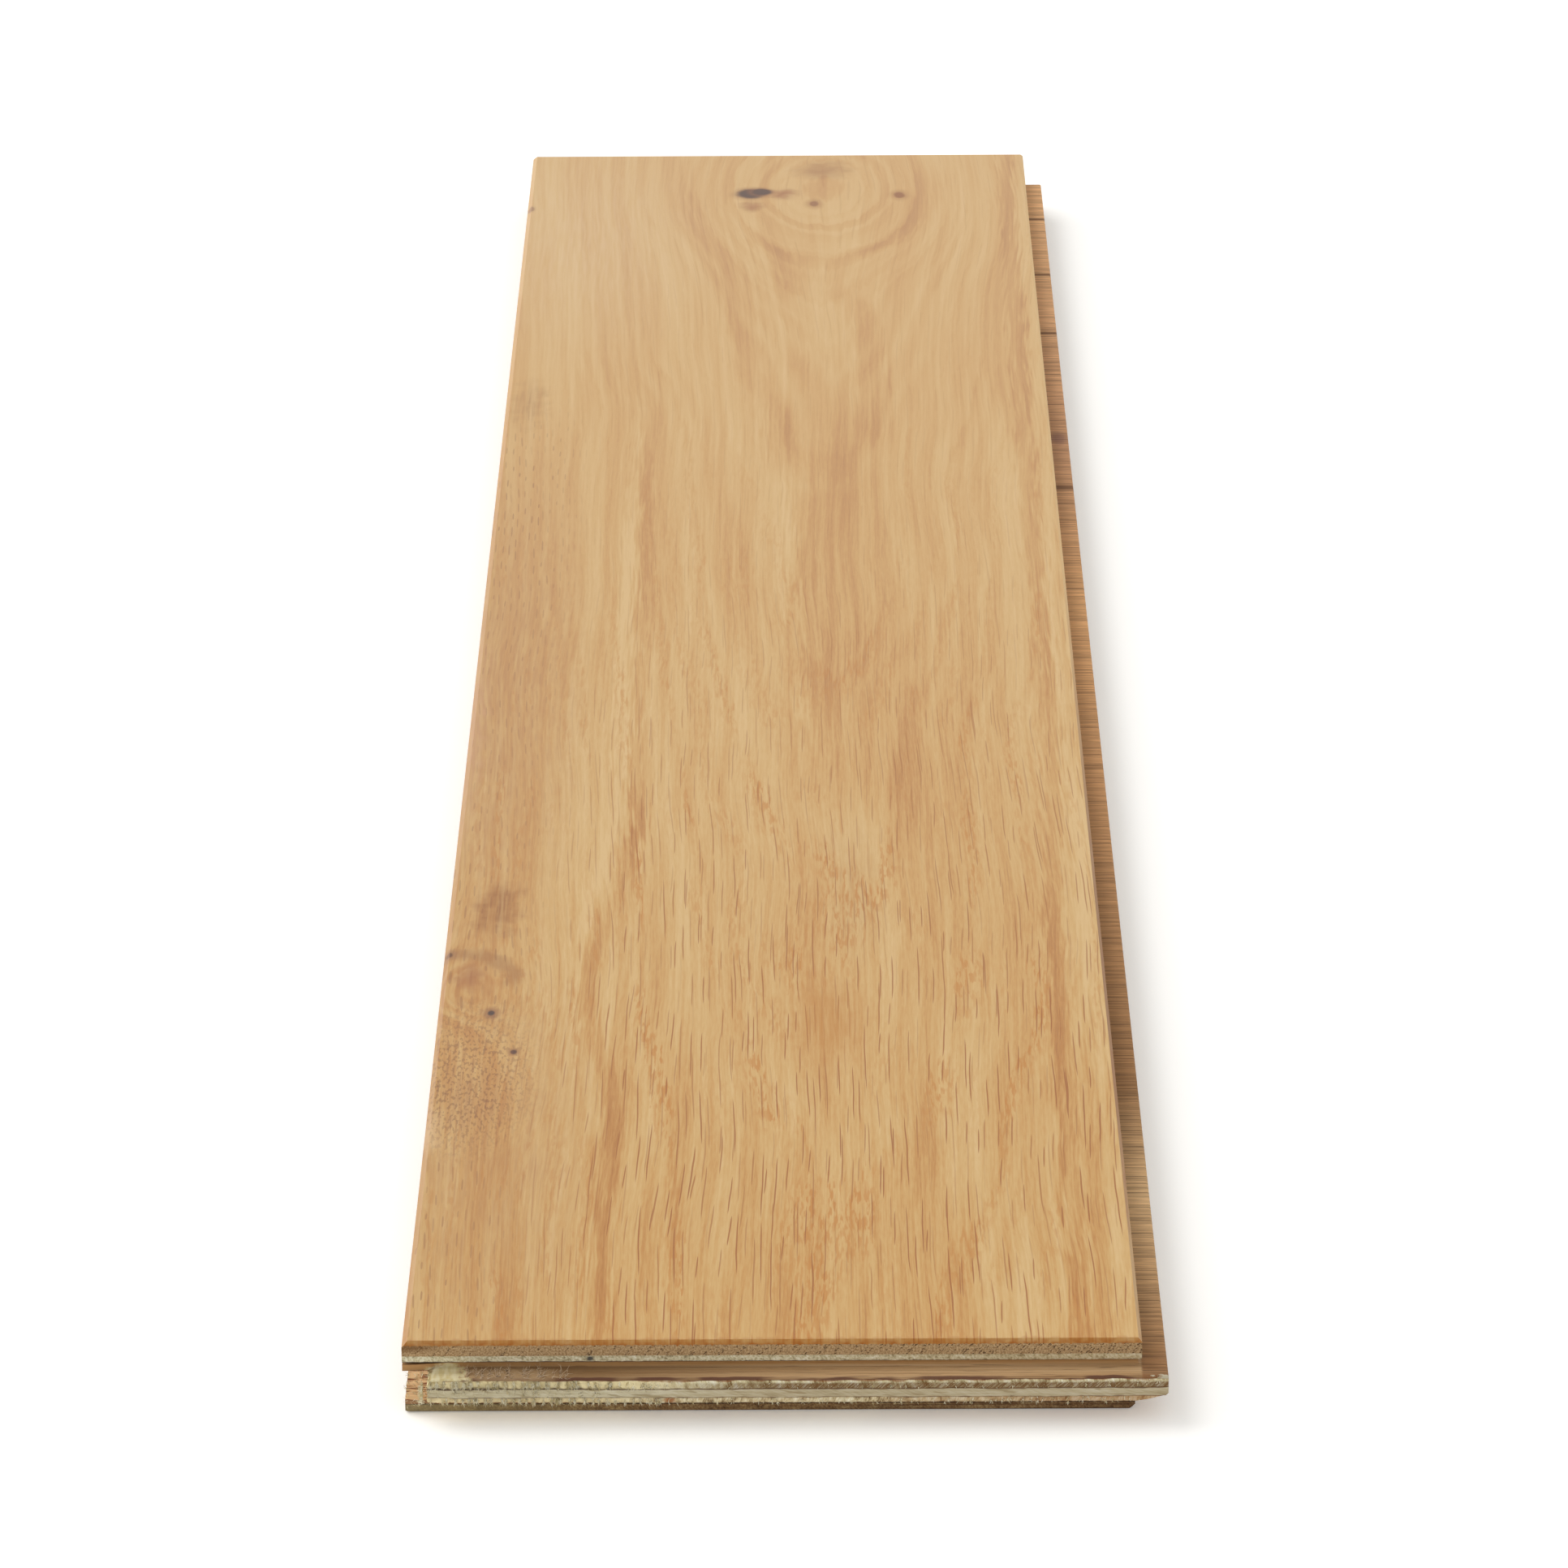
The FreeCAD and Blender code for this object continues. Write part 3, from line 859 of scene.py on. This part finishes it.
# Painted highlight: a pale band along the tongue's top, just behind its front edge.
painted_rim_highlight = oval(tree, place, (40, FRONT + 3.0, TONGUE_TOP), (90, 2.4, 0.6), 0.4)
colour = tinted(tree, colour, "#dcc096", painted_rim_highlight, 0.12)
rim = (y, FRONT + 0.6, FRONT + 0.3)
stretches = fibre_noise(tree, place, (16, 4, 4))
stretches = (stretches, 0.4, 0.5, 0.25, 0.85)
colour = tinted(tree, colour, "#5d372b", rim, stretches)
bare_tone = fibre_noise(tree, place, (1.2, 6, 2))
bare_tone = (bare_tone, 0.35, 0.65)
bare_colour = tinted(tree, "#dac891", "#ece0b6", bare_tone)
# Patches where it came off: centre, half sizes, colour, share, share that is solid.
PATCHES = [
    ((-70.5, -541, 12.6), (19, 6, 2), "#bfa077", 0.6, 0.3),
    ((-87.0, -541, 12.4), (7.0, 8, 3), bare_colour, 0.92, 0.7),
    ((96.8, -543, 12.4), (2.2, 2.2, 2), "#c9c0a4", 0.9, 0.4),
]
PATCH_STRAY = (12, 5, 0)
ragged = add(tree, "TexNoise", {"Vector": place, "Scale": 0.45, "Detail": 4.0}, out="Color")
ragged = add(tree, "VectorMath", [ragged, NOISE_MEAN], operation="SUBTRACT")
ragged = add(tree, "VectorMath", [ragged, PATCH_STRAY, place], operation="MULTIPLY_ADD")
for centre, half_sizes, mark, share, inner in PATCHES:
    colour = tinted(tree, colour, mark, oval(tree, ragged, centre, half_sizes, inner), share)
seal(tree, tone, colour)
print("tongue's front at", FRONT, "mm,", len(PATCHES), "bare patches")

# %% [markdown]
# ## Plies: pale torn veneer
# The saw tore this pale ply. At the left, where the tears are deep, its fresh fibres are bleached. Further
# right it was cut, and dirt darkened it in fine leaning hairs. Under the brown ply it is rusty from the glue.

# %% Plies: pale torn veneer
third_finish, tree, place, tone, colour = veneer(
    "pale_veneer_torn", "ply_3_lengthwise", ("#7c6336", "#e3d6ab", "#fffbe2"),
    [((0.4, 8, 1.6), 0.25, 1.0), ((2.2, 20, 3.2), 0.25, 1.8), ((10, 60, 9), 0.0, 0.5)],
    "#7a6344", faces=(0,), marks=[
        ((-57.5, FRONT, 10.8), (0.9, 3, 0.9), "#3f3426", 0.9),
        ((-46.5, FRONT, 9.6), (1.2, 3, 0.5), "#7b4428", 0.8),
    ],
)
x, y, z = add(tree, "SeparateXYZ", [place]).node.outputs
hairs = fibre_noise(tree, place, (0.4, 8, 3.0), -1.1)
hairs = (hairs, 0.35, 0.62, 0.65, 0.95)
to_right = (x, -45.0, 5.0)
downward = (z, 11.5, 10.6)
colour = tinted(tree, colour, "#744f28", to_right, downward, hairs)
bleached = (x, -20.0, -45.0, 0.0, 0.8)
colour = tinted(tree, colour, "#fcebb8", bleached)
rusty = fibre_noise(tree, place, (5, 5, 1.2))
rusty = add(tree, "Math", [rusty, 1.6, z], operation="MULTIPLY_ADD")
rusty = (rusty, 12.15, 12.6, 0.0, 0.75)
colour = tinted(tree, colour, "#93592f", rusty)
seal(tree, tone, colour)

# %% [markdown]
# ## Plies: pale planed veneer
# This crosswise ply came out of the saw nearly smooth, as if planed: pale and even, with small slanting
# nicks, and browner to the right.

# %% Plies: pale planed veneer
fourth_finish, tree, place, tone, colour = veneer(
    "pale_veneer_planed", "ply_4_crosswise", ("#9a8a66", "#d2c8a6", "#f3eed8"),
    [((6, 2, 0.4), 0.0, 0.8), ((0.9, 2, 1.4), 2.2, 0.5), ((40, 9, 3), 0.0, 0.7)], "#5a4238",
)
nicks = fibre_noise(tree, place, (5, 2, 1.1), 3.0)
nicks = (nicks, 0.6, 0.68, 0.0, 0.55)
colour = tinted(tree, colour, "#93805a", nicks)
x = add(tree, "SeparateXYZ", [place])
browned = (x, -50.0, 0.0, 0.12, 0.34)
colour = tinted(tree, colour, "#a07f58", browned)
seal(tree, tone, colour)

# %% [markdown]
# ## Plies: tan torn veneer
# The second torn ply is darker than the first, and its fibres lean the other way. It has ruddy clouds towards
# the right, and it is bleached at the left like the other.

# %% Plies: tan torn veneer
fifth_finish, tree, place, tone, colour = veneer(
    "tan_veneer_torn", "ply_5_lengthwise", ("#73542f", "#dcc79a", "#fff6d6"),
    [((0.4, 8, 1.2), -0.3, 1.2), ((1.9, 20, 2.4), -0.3, 1.6), ((10, 60, 9), 0.0, 0.5)],
    "#4a3430", marks=[((-29.5, FRONT, 6.1), (2.0, 4, 1.6), "#a5622e", 0.85)],
)
x = add(tree, "SeparateXYZ", [place])
ruddy = fibre_noise(tree, place, (16, 16, 4))
ruddy = add(tree, "Math", [ruddy, 120.0, x], operation="MULTIPLY_ADD")
ruddy = (ruddy, 60.0, 130.0, 0.0, 0.55)
colour = tinted(tree, colour, "#b17c4d", ruddy)
bleached = (x, -30.0, -50.0, 0.0, 0.8)
colour = tinted(tree, colour, "#f9e6b4", bleached)
seal(tree, tone, colour)

# %% [markdown]
# ## Plies: pinkish crosswise veneer
# The groove's floor is cut in this ply. On the end it is a quiet pinkish brown. On the floor, beside the
# groove's open end, it is torn, and shows bright with brown lines.

# %% Plies: pinkish crosswise veneer
TONGUE_LEFT = -91.3
GROOVE_FLOOR = 3.7

sixth_finish, tree, place, tone, colour = veneer(
    "pinkish_crosswise_veneer", "ply_6_crosswise", ("#6d4c36", "#a27a56", "#c8a27b"),
    [((60, 0.5, 0.5), 0.0, 1.0), ((25, 1.6, 1.6), 0.0, 0.7), ((90, 6, 6), 0.0, 0.5)], "#41302b",
)
x, y, z = add(tree, "SeparateXYZ", [place]).node.outputs
floor_tone = fibre_noise(tree, place, (7, 1.1, 60))
floor_tone = (floor_tone, 0.54, 0.42)
floor_colour = tinted(tree, "#e2bb8a", "#8a5533", floor_tone)
outside = (x, TONGUE_LEFT + 0.3, TONGUE_LEFT - 0.3)
on_floor = (z, GROOVE_FLOOR - 0.4, GROOVE_FLOOR - 0.1)
colour = tinted(tree, colour, floor_colour, outside, on_floor)
seal(tree, tone, colour)

# %% [markdown]
# ## Plies: greenish backing
# The backing keeps the board flat and lies underneath, so it is a cheap veneer: dull and greenish, smudged at
# the right. It isn't torn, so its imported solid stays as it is.

# %% Plies: greenish backing
backing_finish, tree, place, tone, colour = veneer(
    "greenish_backing_veneer", "backing_ply", ("#573f28", "#967650", "#c7ae80"),
    [((0.5, 14, 0.5), 0.3, 1.3), ((3.0, 70, 2.0), 0.0, 0.8), ((20, 200, 9), 0.0, 0.5)],
    "#40302b", faces=(1,), sawn=False,
)
x = add(tree, "SeparateXYZ", [place])
smudge = fibre_noise(tree, place, (40, FAR, 0.6))
smudge = (smudge, 0.45, 0.6)
to_right = (x, -10.0, 40.0)
colour = tinted(tree, colour, "#553a28", smudge, to_right, 0.6)
# Painted light: the backing is lighter towards the left.
painted_lighting_to_left = (x, -30.0, -90.0, 0.0, 0.5)
colour = tinted(tree, colour, "#a59b72", painted_lighting_to_left)
seal(tree, tone, colour)
board["backing_ply"].data.materials.clear()
board["backing_ply"].data.materials.append(backing_finish)

# %% [markdown]
# ## Plies: what the saw tore
# The end saw tore the ends of the lengthwise plies and lifted a strip of the brown one, so their fronts
# aren't flat. They could be sculpted, but a rule is easier to change: each ply is a copy of its packed
# solid, cut into narrow strips where it shows, and every corner is then pushed by a few rules.

# %% Plies: copies cut into strips
WELD = 0.001 * MM
FLAT = math.radians(1)


def copied(node):
    """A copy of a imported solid, with its flat faces whole again."""
    shape = bmesh.new()
    shape.from_mesh(board[node].data)
    bmesh.ops.remove_doubles(shape, verts=shape.verts, dist=WELD)
    bmesh.ops.dissolve_limit(shape, angle_limit=FLAT, verts=shape.verts, edges=shape.edges)
    return shape


def slice_up(shape, inside, axis, start, end, step=1.0):
    """Cuts the faces inside a region, all told in millimetres, into strips along an axis."""
    direction = Vector([float(i == axis) for i in range(3)])
    faces = [face for face in shape.faces if inside(face.calc_center_median() / MM)]
    for number in range(round((end - start) / step) + 1):
        at = (start + number * step) * MM
        edges = {edge for face in faces for edge in face.edges}
        corners = {corner for face in faces for corner in face.verts}
        geometry = [*corners, *edges, *faces]
        made = bmesh.ops.bisect_plane(
            shape, geom=geometry, dist=WELD, plane_co=direction * at, plane_no=direction
        )
        faces = [part for part in made["geom"] if isinstance(part, bmesh.types.BMFace)]
        faces = [face for face in faces if face.calc_center_median()[axis] > at]


print("strips are cut on", sum(name.startswith("ply") for name in board), "plies")

# %% [markdown]
# ## Plies: where the strips are
# Only what shows torn is cut: the last 16 mm at the front end, the side tongue's top, and the groove's floor
# beside its open end.

# %% Plies: where the strips are
ZONE = -527.0
STRIP = 0.45
SMOOTH_FROM = -55.0
LAYER = 0.3
SIDE_CUT = 90.2
REAR_NOTCH = 18
RIBS_END = -505


def at_end(middle):
    """Whether a place lies at the sawn front end."""
    return middle.y < ZONE


def cut_tongue(shape, low, high):
    """Cuts for the tongue's top and for the side tongue's ribs, which the brown ply shows."""
    slice_up(shape, at_end, 1, SHOULDER + 2.0, SHOULDER + 6.0, 2.0)
    slice_up(
        shape, lambda middle: at_end(middle) and low.z + 0.05 < middle.z < high.z - 0.05,
        1, FRONT + 0.5, SHOULDER + 1.5, 0.6
    )
    slice_up(shape, lambda middle: middle.y > ZONE, 0, SIDE_CUT, SIDE_CUT)
    slice_up(
        shape, lambda middle: middle.y > ZONE and middle.x > SIDE_CUT,
        1, ZONE + 0.8, high.y - REAR_NOTCH, 0.8
    )


def cut_groove(shape, low):
    """Cuts for the torn ribs on the groove's floor, which the pinkish ply shows."""
    slice_up(shape, lambda middle: middle.y > ZONE, 1, RIBS_END, RIBS_END)
    slice_up(shape, lambda middle: middle.y < RIBS_END, 0, TONGUE_LEFT, TONGUE_LEFT)
    slice_up(
        shape, lambda middle: middle.y < RIBS_END and middle.x < TONGUE_LEFT,
        1, low.y + 0.4, RIBS_END, 0.4
    )


def cut_up(shape, node, low, high):
    """Cuts a ply where it shows. Beyond its torn corner the brown one is smooth, and its strips are wider."""
    slice_up(shape, lambda middle: True, 1, ZONE, ZONE)
    slice_up(shape, at_end, 2, low.z + LAYER, high.z - 0.2, LAYER)
    torn_to = high.x
    if node == "ply_2_crosswise":
        cut_tongue(shape, low, high)
        torn_to = SMOOTH_FROM
    if node == "ply_6_crosswise":
        cut_groove(shape, low)
    slice_up(shape, at_end, 0, low.x + STRIP, torn_to - STRIP / 2, STRIP)
    if torn_to < high.x:
        slice_up(
            shape, lambda middle: at_end(middle) and middle.x > torn_to, 0, torn_to, high.x, 3 * STRIP
        )


print("strips are", STRIP, "mm wide")

# %% [markdown]
# ## Plies: rules for the tears
# Wood tears in clumps, so a tear is noise with lumps of a clump's size, leaning as the fibres lean. The
# glue lines between torn plies wander a little too. Each rule eases in, so that no step shows at its limit.


# %% Plies: rules for the tears
def eased(value, start, end):
    """0 at start and 1 at end, eased."""
    share = min(max((value - start) / (end - start), 0.0), 1.0)
    return share * share * (3 - 2 * share)


def lumps(across, up, width, height, seed):
    """Noise from 0 to 1, in lumps of that width and height in millimetres."""
    return 0.5 + 0.5 * noise.noise(Vector((across / width, up / height, seed)))


# Depth of the tears at the left and further right, width of a torn clump, lean of the clumps.
TEARS = {
    "ply_1_lengthwise": (0.45, 0.45, 0.7, 0.3),
    "ply_2_crosswise": (1.0, 0.7, 5.0, 0.0),
    "ply_3_lengthwise": (2.4, 0.6, 2.0, 0.25),
    "ply_4_crosswise": (0.9, 0.35, 2.4, 2.2),
    "ply_5_lengthwise": (2.4, 1.0, 1.8, -0.3),
    "ply_6_crosswise": (0.2, 0.2, 6.0, 0.0),
}
TORN_LEFT = -75
TORN_RIGHT = -25
WAVY_PLIES = ("ply_2_crosswise", "ply_3_lengthwise", "ply_4_crosswise")
WAVY_LEVELS = [round(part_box(node)[0].z / MM, 1) for node in WAVY_PLIES]


def waviness(across, level):
    """How far a glue line between two torn plies strays from its level."""
    if level not in WAVY_LEVELS:
        return 0.0
    return 0.3 * lumps(across, level, 9.0, 1.0, 3.5) + 0.16 * lumps(across, level, 1.6, 1.0, 8.5) - 0.23


def torn(node, place, low, high):
    """Where the saw left a corner of a ply that was at that place, in millimetres."""
    left_depth, right_depth, clump, lean = TEARS[node]
    moved = place.copy()
    seed = high.z
    at_front = eased(place.y, low.y + 1.8, low.y + 0.3)
    depth = left_depth + (right_depth - left_depth) * eased(place.x, TORN_LEFT, TORN_RIGHT)
    leaning = place.x + lean * place.z
    coarse = lumps(leaning, place.z, clump, 2.5 * clump, seed)
    fine = lumps(leaning, place.z, 0.4 * clump, clump, seed + 9)
    moved.y += at_front * depth * (0.6 * coarse + 0.4 * fine)
    share = (place.z - low.z) / (high.z - low.z)
    levels = round(low.z, 1), round(high.z, 1)
    stray = waviness(place.x, levels[0]) * (1 - share) + waviness(place.x, levels[1]) * share
    moved.z += stray * eased(place.y, SHOULDER + 0.2, SHOULDER - 4.3)
    if place.y < SHOULDER and place.x < TONGUE_LEFT + 0.3:
        moved.x += 1.5 * lumps(place.y, place.z, 0.9, 0.7, seed) - 0.9
    return moved


print("tears up to", max(tear[0] for tear in TEARS.values()), "mm deep")

# %% [markdown]
# ## Plies: rules for what the tools left
# The brown ply and the pinkish one have marks of their own: ribs from the cutter, a lifted strip with a dark
# gap above it, a hollow where the ply came off. Each is one small function that gives a change in height.

# %% Plies: rules for what the tools left
BROWN_TOP = round(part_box("ply_2_crosswise")[1].z / MM, 1)


def milled_rib(place):
    """Ribs that the cutter left on the side tongue's top, across the board."""
    on_top = eased(place.x, 91.0, 92.0) * eased(place.z, TONGUE_TOP - 0.4, TONGUE_TOP - 0.1)
    return -0.22 * on_top * lumps(place.y, place.x, 1.3, 20.0, 5.5)


def lifted(place):
    """Drop of the strip that the saw lifted off at the front left corner, with the dark gap above it."""
    near_end = eased(place.y, ZONE, ZONE - 7)
    gap = 0.3 * eased(place.x, -66, -84) + 0.75 * eased(place.x, -82, -98)
    through = max(eased(place.z, TONGUE_TOP - 0.1, BROWN_TOP), eased(place.x, -90, -91.5))
    return -gap * near_end * through * eased(place.z, TONGUE_TOP - 0.6, TONGUE_TOP)


def peeled(place):
    """Hollow on the tongue's top where the brown ply came off, with a fuzzy rest beside it."""
    level = eased(place.z, TONGUE_TOP - 0.3, TONGUE_TOP - 0.05)
    level *= eased(place.z, TONGUE_TOP + 0.4, TONGUE_TOP + 0.1)
    on_top = level * eased(place.y, SHOULDER - 0.1, SHOULDER - 1.3)
    bare = eased(place.x, -92, -91) * eased(place.x, -80.5, -82.5)
    fuzzy = eased(place.x, -82.5, -80.5) * eased(place.x, -62, -66)
    return on_top * (-0.4 * bare + 0.5 * fuzzy * (lumps(place.x, place.y, 0.8, 0.8, 2.5) - 0.6))


def groove_rib(place):
    """Torn ribs on the groove's floor, beside the open end."""
    on_floor = eased(place.z, GROOVE_FLOOR - 0.3, GROOVE_FLOOR)
    on_floor *= eased(place.x, TONGUE_LEFT + 0.3, TONGUE_LEFT - 0.1) * eased(place.y, RIBS_END, RIBS_END - 7)
    return on_floor * (0.8 * lumps(place.y + 0.15 * place.x, place.x, 1.5, 8.0, 4.5) - 0.5)


print("brown ply's top at", BROWN_TOP, "mm")

# %% [markdown]
# ## Plies: the torn copies
# Each copy takes the place of its imported solid, which is hidden and otherwise stays as it is.
# Each copy takes the place of its imported solid, which stays as it is for weight and contact.

# %% Plies: the torn copies
PLIES = [
    ("ply_1_lengthwise", "pale_ply", top_finish),
    ("ply_2_crosswise", "brown_ply", brown_finish),
    ("ply_3_lengthwise", "pale_ply", third_finish),
    ("ply_4_crosswise", "pale_ply", fourth_finish),
    ("ply_5_lengthwise", "pale_ply", fifth_finish),
    ("ply_6_crosswise", "brown_ply", sixth_finish),
]
SHARP = math.radians(35)


def keep(mesh, name, finish, node=None):
    """Puts a mesh of the object in the scene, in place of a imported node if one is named."""
    mesh.materials.append(finish)
    piece = bpy.data.objects.new(name, mesh)
    scene.collection.objects.link(piece)
    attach(piece, "root")
    if node:
        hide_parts(node)


for node, slot, finish in PLIES:
    low, high = [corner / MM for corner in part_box(node)]
    shape = copied(node)
    cut_up(shape, node, low, high)
    sawn_place = shape.verts.layers.float_vector.new("sawn_place")
    for corner in shape.verts:
        place = corner.co / MM
        corner[sawn_place] = place
        moved = torn(node, place, low, high) if at_end(place) else place.copy()
        if node == "ply_2_crosswise":
            moved.z += milled_rib(place) + lifted(place) + peeled(place)
        if node == "ply_6_crosswise":
            moved.z += groove_rib(place)
        corner.co = moved * MM
    mesh = bpy.data.meshes.new(node + "_sawn")
    shape.to_mesh(mesh)
    shape.free()
    mesh.shade_smooth()
    mesh.set_sharp_from_angle(angle=SHARP)
    keep(mesh, node + "_sawn", finish, node)
    mesh.calc_loop_triangles()
    print(f"{node}: {len(mesh.loop_triangles)} triangles")

# %% [markdown]
# ## Torn fibres
# Loose fibres stand in the tears in clumps, most of them at the left end of the tongue. Each is a thin
# tapering strand with three sides. All of them are one mesh, because thousands of objects would be slow.
# Blender's hair could draw them too, but a mesh can be exported.

# %% Torn fibres: finish
# Fresh poplar fibres are dry and nearly white. On the tongue's top they are brown.
fibre_finish, tree = finish_named("loose_wood_fibres")
place = in_millimetres(tree)
z = add(tree, "SeparateXYZ", [place]).node.outputs[2]
tone = fibre_noise(tree, place, (1.2, 1.2, 1.2))
light = (tone, 0.3, 0.7)
colour = tinted(tree, "#d8c692", "#fff8dc", light)
on_tongue = (z, 11.9, 12.4)
colour = tinted(tree, colour, "#cdb393", on_tongue)
seal(tree, tone, colour)
print("fibres:", fibre_finish.name)

# %% Torn fibres: strands
# Tufts: number, range across, range along, range of height, direction, range of length, curl.
TUFTS = [
    (1500, (-91, -30), (-542.9, -541.9), (9.8, 11.7), (0.1, -0.5, -0.9), (0.8, 2.0), 0.8),
    (1000, (-90, -30), (-542.9, -541.9), (5.5, 6.9), (0.1, -0.5, -0.9), (0.6, 1.6), 0.8),
    (160, (-91, -45), (-543.1, -542.6), (7.1, 9.3), (0.7, -0.4, 0.4), (0.6, 1.8), 0.7),
    (350, (-35, 96), (-543.1, -542.7), (9.5, 11.7), (0.3, -0.5, -0.6), (0.3, 0.9), 0.8),
    (350, (-35, 90), (-543.1, -542.6), (5.2, 6.9), (0.2, -0.4, -0.7), (0.4, 1.1), 0.9),
    (300, (-84, -56), (-542.8, -537.5), (12.3, 12.6), (0.5, -0.2, 0.4), (0.8, 3.0), 1.4),
    (90, (-98.0, -92.0), (-541.0, -512.0), (3.5, 3.9), (-0.5, -0.3, 0.5), (0.8, 2.4), 0.8),
    (320, (-91.6, -90.8), (-543.0, -537.5), (5.4, 9.4), (-1.0, -0.3, 0.1), (0.5, 1.6), 1.0),
    (90, (95.5, 97.8), (-543.2, -541.5), (10.5, 12.3), (0.1, -0.4, 0.6), (0.3, 0.9), 1.0),
]
JOINTS = 4
SIDES = 3
THICKNESS = (0.05, 0.14)
TAPERED = 0.85
SPREAD = 0.45
# Pitch of the clumps in millimetres, how far they stray from it, and how far a strand moves to its clump.
CLUMP = 1.7
CLUMP_STRAY = 1.6
GATHERED = 0.75
SEED = 20

random.seed(SEED)
corners = []
faces = []
for count, across, along, height, direction, lengths, curl in TUFTS:
    for _ in range(count):
        place = Vector([random.uniform(*limits) for limits in (across, along, height)])
        clump = round(place.x / CLUMP)
        clump += CLUMP_STRAY * noise.noise(Vector((0.83 * clump, height[0], 0.5)))
        place.x += GATHERED * (CLUMP * clump - place.x)
        heading = Vector(direction) + Vector([random.gauss(0, SPREAD) for _ in range(3)])
        step = random.uniform(*lengths) / JOINTS
        thickness = random.uniform(*THICKNESS)
        bend = Vector([random.gauss(0, curl / JOINTS) for _ in range(3)])
        for joint in range(JOINTS + 1):
            heading.normalize()
            aside = heading.orthogonal().normalized()
            upward = heading.cross(aside)
            radius = thickness * (1 - TAPERED * joint / JOINTS)
            for number in range(SIDES):
                turn = math.tau * number / SIDES
                corner = place + (aside * math.cos(turn) + upward * math.sin(turn)) * radius
                corner = corner * MM
                corners.append([min(max(c, low), high) for c, low, high in zip(corner, *cad_box)])
            if joint:
                new = len(corners) - SIDES
                old = new - SIDES
                for number in range(SIDES):
                    following = (number + 1) % SIDES
                    faces.append((old + number, old + following, new + following, new + number))
            place = place + heading * step
            heading = heading + bend
fibres = bpy.data.meshes.new("torn_fibres")
fibres.from_pydata(corners, [], faces)
fibres.shade_smooth()
keep(fibres, "torn_fibres", fibre_finish)
print("fibres:", sum(tuft[0] for tuft in TUFTS), "strands,", 2 * len(faces), "triangles")
